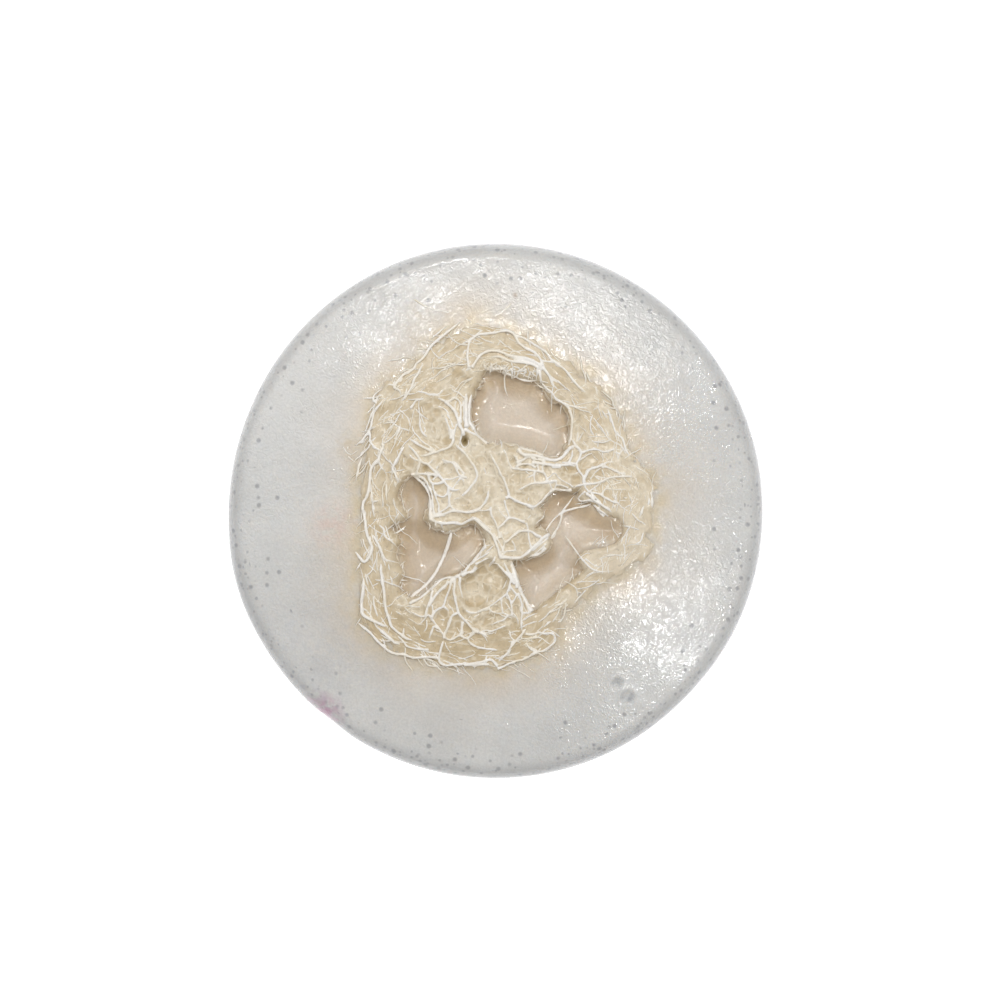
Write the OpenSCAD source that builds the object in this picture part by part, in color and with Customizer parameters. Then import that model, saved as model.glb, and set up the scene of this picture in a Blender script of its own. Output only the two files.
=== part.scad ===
// Round cast soap puck with a slice of dried luffa set in its domed top.
// The puck stands on its flat base: the origin is the centre of the base and +Z points up.

/* [Soap puck] */
// Diameter of the puck
puck_d = 80; // [72:1:110]
// Height of the side, up to where the dome begins
side_h = 19.5; // [14:0.5:30]
// Rise of the dome above the side
dome_rise = 4.2; // [2:0.1:8]
// Rounding between the side and the dome
rim_r = 3; // [1:0.5:5]
// Rounding of the bottom edge
foot_r = 1.5; // [0.5:0.1:3]

/* [Luffa slice] */
// Width of the slice, from left to right
slice_w = 45; // [36:1:54]
// Length of the slice, from front to back
slice_l = 52; // [42:1:62]
// Soap left under the slice
floor_t = 4; // [2:0.5:8]
// How far the soap-soaked tissue stands out of the dome
proud = 0.6; // [0.2:0.1:1.5]
// Thickness of the outer wall of the slice
wall_t = 6; // [4:0.5:8]
// Thickness of the skin that lines each seed chamber
lining_t = 0.4; // [0.2:0.1:1]
// Depth of the soap in the seed chambers, below the top of the dome
well_depth = 3; // [1:0.5:8]

/* [Strands] */
// Width of a main strand
strand_w = 0.8; // [0.4:0.1:1.2]
// Width of a fine strand
fine_w = 0.5; // [0.3:0.1:0.8]
// How far a strand stands out of the tissue
strand_t = 0.7; // [0.3:0.1:1.2]
// Radius of the webs where strands meet
web_r = 0.3; // [0.1:0.1:0.6]

/* [Burst bubbles] */
// Radius of the largest bubble left in the soap
bubble_r = 1.2; // [0.5:0.1:2]

/* [Hidden] */

puck_r = puck_d / 2;
dome_top = side_h + dome_rise;
rim_c = puck_r - rim_r;         // centre of the rim's rounding, out from the axis
rim_drop = dome_rise + rim_r;   // the same centre, down from the top of the dome
// A dome of this radius runs into the rounding of the rim without an edge
dome_r = (rim_drop * rim_drop + rim_c * rim_c - rim_r * rim_r) / (2 * dome_rise);
dome_tilt = asin(rim_c / (dome_r - rim_r));   // slope of the dome where the rim takes over
well_z = dome_top - well_depth;
full_h = dome_top + proud + strand_t + 1;     // taller than anything on the dome
edge_tilt = asin(puck_r / dome_r);            // carries the dome's curve out past the rim
reach = 2 * slice_l;                          // longer than any partition
arc_steps = 8;
dome_steps = 16;
curve_steps = 3;
strand_steps = 2;

// Outline of the slice, clockwise from its top, drawn for a slice 45 wide and 52 long
drawn_w = 45;
drawn_l = 52;
slice_points = [
    [-3.5, 28], [2, 27], [7.5, 24], [13.5, 20.5], [17.5, 16.5], [19.5, 12], [21.5, 7.5],
    [24, 3.5], [23.5, -1.5], [22.5, -6], [20, -9], [15.5, -11], [13, -13.5], [10.5, -16],
    [9, -19], [6, -21.5], [0.5, -23.5], [-5.5, -23.5], [-10.5, -22.5], [-16, -20.5],
    [-19.5, -17.5], [-20.5, -13.5], [-20.5, -7.5], [-20.5, -1.5], [-20, 4.5], [-19, 10.5],
    [-18, 16], [-15.5, 19.5], [-11.5, 22.5], [-7.5, 26.5]];
// The three seed chambers, and one closed cell of the front partition
top_chamber = [
    [-1, 21], [3, 20], [6.5, 19], [8, 16.5], [10, 15.5], [11, 12], [10, 9], [8.5, 8],
    [5.5, 9], [2, 10], [-1.5, 10], [-3, 12], [-3.8, 14], [-3.5, 16.5], [-2.5, 18.5]];
left_chamber = [
    [-12, 5.5], [-9.8, 3], [-10.3, -1], [-7.5, -3.2], [-6, -2.6], [-3.8, -1.8], [-1.8, -3.5],
    [-2, -5.8], [-4.6, -8.6], [-8, -10], [-11.5, -12.5], [-13, -12.4], [-14.3, -11],
    [-13.5, -9], [-14.6, -6.3], [-13.8, -4.4], [-15.3, -2.4], [-13, -0.8], [-14.3, 2.4]];
right_chamber = [
    [8.5, 3], [12, 2.8], [14, 1], [17.5, -1], [18.7, -3], [17, -4.6], [14, -5], [11.8, -6.8],
    [12.5, -9], [9.5, -11.5], [5.5, -14.5], [3.8, -12.5], [2.3, -7.6], [5.5, -6.8],
    [8.5, -5.2], [7.5, -3], [5.8, -2.4], [7, 0]];
// The core: where this outline runs into a chamber, the chamber wins
core_points = [
    [-9.5, 5], [-5, 9], [-2, 11], [3, 11], [8, 9], [9.5, 5], [9, 1], [9.5, -4.5], [6, -8],
    [1, -8], [-3.5, -6], [-8, -3.5], [-11.5, -2], [-11, 2]];
// The bearings from the middle of the core that each partition spans
core_at = [0.5, 1];
left_span = [104, 168];
right_span = [12, 52];
front_span = [222, 294];

// Strands, each as points along its middle: main ones, then finer ones
outer_main = [
    // from the top towards the right
    [[-5.5, 24.5], [-2.5, 26], [2, 26.5], [3.5, 24.8], [6.5, 22.3], [10, 20.6], [14, 17]],
    [[3.5, 25.8], [7.3, 23.8], [8.5, 22.2], [11, 20.8]],
    // from the top towards the left and down
    [[-3.5, 28], [-7.5, 26], [-10.8, 22.2], [-12.3, 20.8], [-15, 18.4]],
    [[-7, 27], [-9.8, 24.7]],
    [[-10.7, 21.4], [-12.2, 18], [-14, 15.5]],
    [[-18, 16.7], [-17.7, 14.6], [-18.6, 12], [-20, 9.8]],
    [[-16.2, 11], [-17, 7.6], [-16.4, 6]],
    [[-17.4, 7.3], [-18.5, 3.7], [-19.1, -0.5], [-18.2, -5.3], [-19.1, -7.8]],
    [[-17.9, -3.3], [-16.8, -5.3], [-15.8, -7.4]],
    [[-16.7, -7.8], [-16.6, -11], [-15.5, -16.8], [-13.2, -18.7], [-12.6, -20], [-9.2, -20.2]],
    [[-19, -9.8], [-19.5, -13], [-19.4, -15], [-16.1, -16.8]],
    // along the front
    [[-18.9, -16.9], [-16.6, -19.6], [-13.2, -21.3], [-8.5, -21.6]],
    [[-10.4, -20.5], [-8.3, -20.8], [-7.4, -18.9]],
    [[-8.3, -21.8], [-4.9, -22.8], [-1.6, -22.4], [0.4, -22.8]],
    [[4.3, -17.4], [2.5, -19.9], [0.5, -22.2]],
    [[4.4, -17.7], [8, -18.2], [8.4, -19.4], [5.8, -20.8]],
    // up the right side
    [[8.3, -14.1], [10.5, -12.9], [12, -11.5]],
    [[11.7, -6.8], [13.5, -8.1], [16.5, -9]],
    [[21.7, -2.6], [21.3, -4], [20, -5]],
    [[22.7, 1.6], [21.2, -1]],
    [[16.4, 15.7], [17.4, 12.2], [19.2, 8.6], [20.1, 7.2], [22.6, 4.6]],
    // over the top chamber
    [[-3.4, 21.4], [-1, 23.5], [3.4, 22.6], [6.4, 21.8]],
    [[-0.8, 21.2], [4, 20.8], [6.7, 20.6], [8.6, 18], [11.5, 14], [11.5, 11.4]],
    [[10.2, 16], [12, 15.2], [13.8, 15.1]]];
outer_fine = [
    [[-4, 24.8], [-4, 22]], [[-18.5, 10.9], [-16.1, 8.3]], [[-16.2, 4.3], [-16.2, 1.3]],
    [[-20, -5.9], [-19.1, -7.7], [-20, -8.7]], [[-17.9, -11.8], [-17.1, -15.9]],
    [[-17.4, -17.2], [-13.7, -19.5]], [[14.6, 18.8], [15, 16.6]], [[15.8, 12.7], [16.7, 10.4]],
    [[11.3, -13.6], [13.3, -11.4]], [[-1.3, 22.6], [3, 22], [6.4, 21.4]],
    [[4.3, -18.7], [5.5, -20.5], [1.1, -22.8]]];
core_main = [
    [[-0.8, 8.5], [1.3, 4.5], [2, 2], [5.8, 0.4], [8.5, 3.6], [11.3, 3.6]],
    [[1.7, 2], [1.7, -0.9], [0.5, -2.6]],
    [[1.7, -0.9], [4.4, -1.7], [5.2, -5]],
    [[-1, 0.1], [0.5, -2.7], [0.7, -5]],
    [[-2.6, -0.6], [-0.2, -3.5], [0.5, -6.8], [3.8, -6.4], [7.4, -4.4]],
    [[-9, 4.2], [-7.3, 4.5], [-6.2, 3.1], [-7.3, 0.3]],
    [[-9.4, -0.2], [-6.1, -0.6], [-2.4, 0.3], [-1, 3]],
    [[-6.2, 8], [-3.8, 7], [-2.5, 4.6]],
    [[2.6, 9.2], [6.8, 7.9], [9, 8]]];
core_fine = [
    [[1.3, -4.4], [3.5, -3.2]], [[2.2, 6.1], [5.6, 6], [7, 5.8], [7.2, 2.2]],
    [[-7.3, 7], [-5.6, 6.2], [-4.6, 4.8]], [[-3.6, 3.4], [-1.2, 5.4]]];
left_main = [
    [[-4.2, 17], [-4.3, 15.4], [-4.4, 13.8], [-4.2, 11.8], [-2.4, 9.8]],
    [[-5.8, 15.8], [-5.5, 13.9], [-4.4, 12]],
    [[-10.4, 16.6], [-8.3, 16.6], [-6.1, 14.5], [-5.8, 12.2], [-8.6, 8.8], [-11, 8]],
    [[-11.4, 17.8], [-9.5, 17.2], [-7.1, 18.7], [-4.4, 16.6]],
    [[-12.9, 9.4], [-11, 7.5], [-8.6, 5.5]],
    [[-13.4, 9.5], [-14.8, 7.4], [-13.8, 5.8]]];
left_fine = [[[-12.5, 10.6], [-9.4, 8.9]], [[-9.9, 7.9], [-7.4, 7]]];
right_main = [
    [[11.6, 9.5], [12.8, 8.3], [12.2, 7], [12.8, 4.6]],
    [[11.2, 8.6], [13.6, 8.4], [14.7, 8.9], [17.3, 8.9]],
    [[12.6, 5.2], [14, 6.3], [16.7, 7.2]],
    [[8.5, 4.8], [11, 4.8], [16.5, 4.8], [20, 5.2]],
    [[12, 3.6], [13.1, 3.2], [15.5, 1.2]],
    [[15.5, 2.6], [16.5, 3.3], [19.7, 3.1]]];
right_fine = [[[14.4, 2.7], [17.4, 0.6]], [[9.8, 8.1], [10.6, 6.2]]];
front_main = [
    [[-11.4, -13.6], [-8, -10.9], [-4.8, -9.4], [-1.6, -6.2], [-0.6, -4.2]],
    [[-9.5, -15.6], [-7.7, -13.9], [-6.8, -11.5]],
    [[-9.5, -15.6], [-7.3, -18.3], [-6.5, -15.6], [-7.7, -13.9]],
    [[-6.1, -11], [-4.9, -15.7], [-3.1, -17.7], [-1, -18.6]],
    [[-3.1, -17.7], [-4, -18.7], [0.5, -20.5]],
    [[-3.1, -17.7], [-0.7, -17.5], [2, -16.8]],
    [[1.6, -8.4], [2.9, -12.4], [4.6, -15.2]],
    [[0.2, -7.8], [2.2, -11]]];
front_fine = [
    [[2.2, -10.9], [-1.3, -14.4]], [[1.7, -12.8], [2.3, -15], [3.2, -16.2]],
    [[-4.6, -10.2], [-4.9, -12.7]]];
// Fibres that came off the slice and lie on the soap
loose_strands = [
    [[-12, 31.2], [-9.8, 30], [-6.4, 29.2]],
    [[2.8, 31], [1.3, 29.9], [-0.4, 28.9]],
    [[-23.4, 8.9], [-22.4, 9.7], [-21.8, 8.6]],
    [[17.8, 24], [18.6, 23.2]]];
// Burst bubbles: share of the puck's radius, bearing, share of the largest bubble's radius
bubbles = [[0.846, -54.6, 1], [0.78, -54.8, 0.88], [0.973, -137.5, 0.6]];

// Places on the slice, moved with its width and length
function placed(points) = [for (p = points) [p[0] * slice_w / drawn_w, p[1] * slice_l / drawn_l]];

// A smooth curve through points: the stretch from b to c, with a before it and d after it
function stretch(a, b, c, d, t) =
    (2 * b + (c - a) * t + (2 * a - 5 * b + 4 * c - d) * t * t
        + (3 * b - a - 3 * c + d) * t * t * t) / 2;
function closed_curve(p, steps) = let (n = len(p)) [for (i = [0:n - 1], s = [0:steps - 1])
    stretch(p[(i + n - 1) % n], p[i], p[(i + 1) % n], p[(i + 2) % n], s / steps)];
function open_curve(p, steps) = let (last = len(p) - 1) concat(
    [for (i = [0:last - 1], s = [0:steps - 1])
        stretch(p[max(i - 1, 0)], p[i], p[i + 1], p[min(i + 2, last)], s / steps)],
    [p[last]]);

// A band of width w along a curve, narrower towards its two ends
function across(p, i) = let (d = p[min(i + 1, len(p) - 1)] - p[max(i - 1, 0)])
    [-d[1], d[0]] / norm(d);
function half_width(p, i, w) = w / 2 * (0.6 + 0.4 * sin(180 * i / (len(p) - 1)));
function band(p, w) = concat(
    [for (i = [0:len(p) - 1]) p[i] + across(p, i) * half_width(p, i, w)],
    [for (i = [len(p) - 1:-1:0]) p[i] - across(p, i) * half_width(p, i, w)]);

function dome_z(r) = dome_top - dome_r + sqrt(dome_r * dome_r - r * r);
// Points along the dome raised by lift, as [distance from the axis, height]
function dome_arc(lift, steps) = [for (i = steps) let (a = edge_tilt * i / dome_steps)
    [(dome_r + lift) * sin(a), dome_top - dome_r + (dome_r + lift) * cos(a)]];
function ray(bearing) = placed([core_at])[0] + reach * [cos(bearing), sin(bearing)];

// ---- plan shapes ----

module slice_2d() polygon(closed_curve(placed(slice_points), curve_steps));

module chamber_2d(points) polygon(closed_curve(placed(points), curve_steps));

module chambers_2d() {
    chamber_2d(top_chamber);
    chamber_2d(left_chamber);
    chamber_2d(right_chamber);
}

module core_2d() polygon(closed_curve(placed(core_points), curve_steps));

// Everything inside the outer wall between two bearings from the core
module span_2d(span) intersection() {
    offset(delta = -wall_t) slice_2d();
    polygon([placed([core_at])[0], ray(span[0]), ray((span[0] + span[1]) / 2), ray(span[1])]);
}

module spans_2d() {
    span_2d(left_span);
    span_2d(right_span);
    span_2d(front_span);
}

// Tissue of one region of the slice, clear of the chambers and their linings
module tissue_2d() difference() {
    intersection() {
        slice_2d();
        children();
    }
    offset(r = lining_t) chambers_2d();
}

module outer_region_2d() difference() {
    square(4 * puck_d, center = true);
    core_2d();
    spans_2d();
}

module partition_region_2d(span) difference() {
    span_2d(span);
    core_2d();
}

// One group of strands, webbed out where they meet
module group_2d(main, fine) offset(r = -web_r, $fn = 12) offset(r = web_r, $fn = 12) {
    for (s = main) polygon(band(open_curve(placed(s), strand_steps), strand_w));
    for (s = fine) polygon(band(open_curve(placed(s), strand_steps), fine_w));
}
module outer_group_2d() group_2d(outer_main, outer_fine);
module core_group_2d() group_2d(core_main, core_fine);
module left_group_2d() group_2d(left_main, left_fine);
module right_group_2d() group_2d(right_main, right_fine);
module front_group_2d() group_2d(front_main, front_fine);

// The first group, cut where it would run through the others
module clear_of_2d() offset(delta = 0) difference() {
    children(0);
    children([1:$children - 1]);
}

// ---- solids cut to the dome ----

// Everything from the bottom of the slice up to the dome raised by lift
module block_under(lift) rotate_extrude($fn = 240) polygon(concat(
    [[0, floor_t], [(dome_r + lift) * sin(edge_tilt), floor_t]],
    dome_arc(lift, [dome_steps:-1:0])));

// A layer of thickness t that follows the dome, its underside raised by lift
module layer(lift, t) intersection() {
    linear_extrude(full_h) children();
    rotate_extrude($fn = 240) polygon(concat(
        dome_arc(lift, [0:dome_steps]), dome_arc(lift + t, [dome_steps:-1:0])));
}

// A column of tissue from the bottom of the slice up to just over the dome
module tissue() intersection() {
    linear_extrude(full_h) tissue_2d() children();
    block_under(proud);
}

module lining(points) intersection() {
    linear_extrude(full_h) difference() {
        offset(r = lining_t) chamber_2d(points);
        chamber_2d(points);
    }
    block_under(proud);
}

// ---- sub-parts ----

module puck() rotate_extrude($fn = 240) polygon(concat(
    [[0, 0]],
    [for (i = [0:arc_steps]) let (a = -90 + 90 * i / arc_steps)
        [puck_r - foot_r + foot_r * cos(a), foot_r + foot_r * sin(a)]],
    [for (i = [0:arc_steps]) let (a = (90 - dome_tilt) * i / arc_steps)
        [rim_c + rim_r * cos(a), dome_top - rim_drop + rim_r * sin(a)]],
    [for (i = [1:dome_steps]) let (a = dome_tilt * (1 - i / dome_steps))
        [dome_r * sin(a), dome_top - dome_r + dome_r * cos(a)]]));

module soap_body() color("whitesmoke") difference() {
    puck();
    translate([0, 0, floor_t]) linear_extrude(full_h) difference() {
        slice_2d();
        chambers_2d();
    }
    translate([0, 0, well_z]) linear_extrude(full_h) chambers_2d();
    for (b = bubbles) let (r = b[0] * puck_r)
        translate([r * cos(b[1]), r * sin(b[1]), dome_z(r)]) sphere(b[2] * bubble_r, $fn = 32);
}

module luffa_outer_wall() color("wheat") tissue() outer_region_2d();
module luffa_core() color("bisque") tissue() core_2d();
module luffa_left_partition() color("blanchedalmond") tissue() partition_region_2d(left_span);
module luffa_right_partition() color("blanchedalmond") tissue() partition_region_2d(right_span);
module luffa_front_partition() color("blanchedalmond") tissue() partition_region_2d(front_span);

module top_chamber_lining() color("navajowhite") lining(top_chamber);
module left_chamber_lining() color("navajowhite") lining(left_chamber);
module right_chamber_lining() color("navajowhite") lining(right_chamber);

module outer_wall_strands() color("ivory") layer(proud, strand_t) outer_group_2d();

module left_partition_strands() color("ivory") layer(proud, strand_t) clear_of_2d() {
    left_group_2d();
    outer_group_2d();
}

module right_partition_strands() color("ivory") layer(proud, strand_t) clear_of_2d() {
    right_group_2d();
    outer_group_2d();
}

module front_partition_strands() color("ivory") layer(proud, strand_t) clear_of_2d() {
    front_group_2d();
    outer_group_2d();
}

module core_strands() color("ivory") layer(proud, strand_t) clear_of_2d() {
    core_group_2d();
    outer_group_2d();
    left_group_2d();
    right_group_2d();
    front_group_2d();
}

module loose_fibres() color("antiquewhite") layer(0, fine_w)
    for (s = loose_strands) polygon(band(open_curve(placed(s), strand_steps), fine_w));

soap_body();
luffa_outer_wall();
luffa_core();
luffa_left_partition();
luffa_right_partition();
luffa_front_partition();
top_chamber_lining();
left_chamber_lining();
right_chamber_lining();
outer_wall_strands();
core_strands();
left_partition_strands();
right_partition_strands();
front_partition_strands();
loose_fibres();
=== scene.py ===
import bpy
import bmesh
import math
import random
import numpy as np
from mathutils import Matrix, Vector, geometry, kdtree, noise


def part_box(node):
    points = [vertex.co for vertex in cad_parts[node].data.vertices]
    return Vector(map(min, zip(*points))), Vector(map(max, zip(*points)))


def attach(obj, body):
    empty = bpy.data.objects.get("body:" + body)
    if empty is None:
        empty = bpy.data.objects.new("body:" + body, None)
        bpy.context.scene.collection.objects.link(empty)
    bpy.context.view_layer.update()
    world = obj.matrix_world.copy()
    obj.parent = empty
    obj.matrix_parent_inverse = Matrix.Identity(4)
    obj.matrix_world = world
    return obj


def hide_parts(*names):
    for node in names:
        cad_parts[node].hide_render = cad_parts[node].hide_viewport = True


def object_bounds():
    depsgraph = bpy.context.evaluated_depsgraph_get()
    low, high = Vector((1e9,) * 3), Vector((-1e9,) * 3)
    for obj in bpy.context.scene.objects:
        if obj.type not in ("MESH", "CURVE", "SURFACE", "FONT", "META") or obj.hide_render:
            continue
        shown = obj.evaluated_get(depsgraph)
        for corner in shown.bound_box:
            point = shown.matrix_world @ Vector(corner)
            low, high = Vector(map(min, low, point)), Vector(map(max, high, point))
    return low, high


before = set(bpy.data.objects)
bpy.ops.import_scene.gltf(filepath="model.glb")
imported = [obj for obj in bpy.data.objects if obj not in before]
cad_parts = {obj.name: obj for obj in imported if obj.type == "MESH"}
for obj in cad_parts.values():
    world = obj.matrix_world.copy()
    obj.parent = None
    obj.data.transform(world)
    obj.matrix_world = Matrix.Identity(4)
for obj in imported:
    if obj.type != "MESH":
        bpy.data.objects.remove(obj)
cadLow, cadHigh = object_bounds()
mm = 0.001
scene = bpy.context.scene
scene.view_settings.view_transform = "Standard"
noise.seed_set(41)   # otherwise noise vectors change from run to run

# sizes are in millimetres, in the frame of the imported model: base at z 0, +Y towards the open chamber
puck = dict(
    radius=(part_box("soap_body")[1].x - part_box("soap_body")[0].x) / 2 / mm,
    top=cadHigh.z / mm - 1.3,   # top of the soap dome, with tissue and strands above it
    rise=4.2,                   # of the dome above the side
    rim=3.0,                    # rounding between side and dome
    foot=1.5,                   # rounding of the bottom edge
    gridCells=212,              # across the top
    rimSteps=11,
    sideSteps=24,
    footSteps=5,
    baseRings=(0.93, 0.8, 0.55, 0.3, 0.1),   # shares of the radius
    wellDepth=3.2,              # soap in the seed chambers, below the top of the dome
    # outline: bearing, half width in degrees, out of round
    dents=[(155, 26, -0.2), (197, 13, 0.3), (232, 4, -0.22), (315, 13, -0.15)],
    # soap stands higher in these parts of the chambers: where, how far, how much
    risen=[(14.0, -2.5, 4.5, 1.3), (8.0, -9.0, 4.0, 0.6), (-4.5, -5.5, 2.8, 1.4), (-6.0, -8.5, 1.8, 0.7)],
    craters=[(18.0, -25.5, 1.05, 0.3), (19.6, -27.6, 1.2, 0.35), (-28.6, -26.2, 0.75, 0.4)],
)
rimDrop = puck["rise"] + puck["rim"]
rimCentre = puck["radius"] - puck["rim"]
domeRadius = (rimDrop ** 2 + rimCentre ** 2 - puck["rim"] ** 2) / (2 * puck["rise"])
domeTilt = math.asin(rimCentre / (domeRadius - puck["rim"]))
capRadius = rimCentre + puck["rim"] * math.sin(domeTilt)   # the dome ends and the rim starts
wellLevel = puck["top"] - puck["wellDepth"]

luffa = dict(
    outline=[(-3.4, 28.0), (2, 27), (7.4, 24), (13.4, 20.3), (17.4, 16.6), (19.4, 12.1), (21.6, 7.3),
             (24, 3.4), (23.4, -1.4), (22.6, -6.2), (19.8, -9.2), (15.6, -11.1), (12.9, -13.4),
             (10.4, -16), (9, -19), (5.9, -21.6), (0.7, -23.4), (-5.3, -23.4), (-10.5, -22.3),
             (-15.8, -20.5), (-19.5, -17.5), (-20.6, -13.3), (-20.6, -7.4), (-20.4, -1.4), (-20, 4.6),
             (-19.2, 10.6), (-18.2, 15.8), (-15.5, 19.4), (-11.3, 22.7), (-7.6, 26.3)],
    chambers=dict(
        top=[(-1, 20.9), (2.9, 19.8), (6.4, 19), (8, 16.4), (10.1, 15.4), (10.9, 12.1), (10.1, 8.9),
             (8.5, 7.9), (5.8, 8.9), (2.2, 9.8), (-1.4, 10.1), (-2.7, 11.6), (-3.7, 13.7),
             (-3.5, 16.4), (-2.4, 18.4)],
        left=[(-12, 5.4), (-9.8, 3.2), (-9.7, 1.2), (-10.4, -0.9), (-9.2, -2.4), (-6.7, -3.1),
              (-5.7, -2.7), (-3.8, -1.8), (-2.5, -2.5), (-1.8, -3.6), (-1.9, -5.3), (-2.9, -6.9),
              (-4.6, -8.6), (-6.7, -9.4), (-9, -10.7), (-11.2, -12.6), (-12.8, -12.6),
              (-14.2, -11), (-13.5, -9.2), (-14.6, -6.3), (-13.8, -4.4), (-15.3, -2.5),
              (-12.9, -0.8), (-14.3, 2.3), (-13.4, 4.3)],
        right=[(8.5, 2.8), (10.4, 3), (12, 2.8), (12.6, 1.4), (14, 1), (15.4, -0.1), (17.8, -1.3),
               (18.7, -2.8), (17.8, -4.2), (16.1, -4.9), (13.4, -5.4), (12, -6.8), (12.6, -8.8),
               (11.7, -9.8), (9.8, -11.2), (7.4, -13.2), (5.5, -14.5), (3.9, -12.5), (3.3, -9.9),
               (2.3, -7.4), (5.7, -6.8), (8.2, -5.3), (7.6, -3), (5.7, -2.4), (7.2, -0.7),
               (6.6, 0.8)]),
    cell=[(-3.4, -8.8), (-2.3, -7.8), (-1.1, -7.0), (0.4, -7.7), (1.3, -8.8), (2.0, -9.9),
          (1.6, -11.3), (-0.2, -12.9), (-1.8, -14.0), (-3.8, -14.1), (-4.9, -13.2), (-5.3, -10.8)],
    core=[(-9.5, 5), (-5, 9), (-2, 11), (3, 11), (8, 9), (9.5, 5), (9, 1), (9.5, -4.5), (6, -8),
          (1, -8), (-3.5, -6), (-8, -3.5), (-11.5, -2), (-11, 2)],
    centre=(0.5, 1.0),
    spans=dict(left=(104, 168), right=(12, 52), front=(222, 294)),
    tear=dict(size=0.7, depth=0.45, seeds=(1, 5)),   # raggedness of the chambers' edges
    wall=6.0,       # thickness of the outer wall
    proud=0.55,     # tissue above the dome
    mesh=0.25,      # spacing of the tissue's vertices
    lip=1.2,        # rounding over the edge of a chamber
    sink=1.2,       # how far the outer edge dips under the soap
    # small holes: where, how wide, how deep
    pits=[(-4.5, 10.3, 0.5, 1.6), (-10.3, 6.15, 0.4, 0.7), (-9.1, 5.0, 0.2, 0.4), (-10.5, 4.5, 0.25, 0.4),
          (2.5, 7.5, 0.35, 0.4), (4.3, 6.55, 0.3, 0.4), (7.4, 6.5, 0.25, 0.4)],
    # soap lies over the tissue here: centre and reach
    drowned=[(18.0, -6.0, 4.5), (22.5, -3.5, 3.0), (11.0, -15.5, 3.0), (-21.5, 2.0, 2.0), (1.0, -24.0, 1.5)],
)

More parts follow.
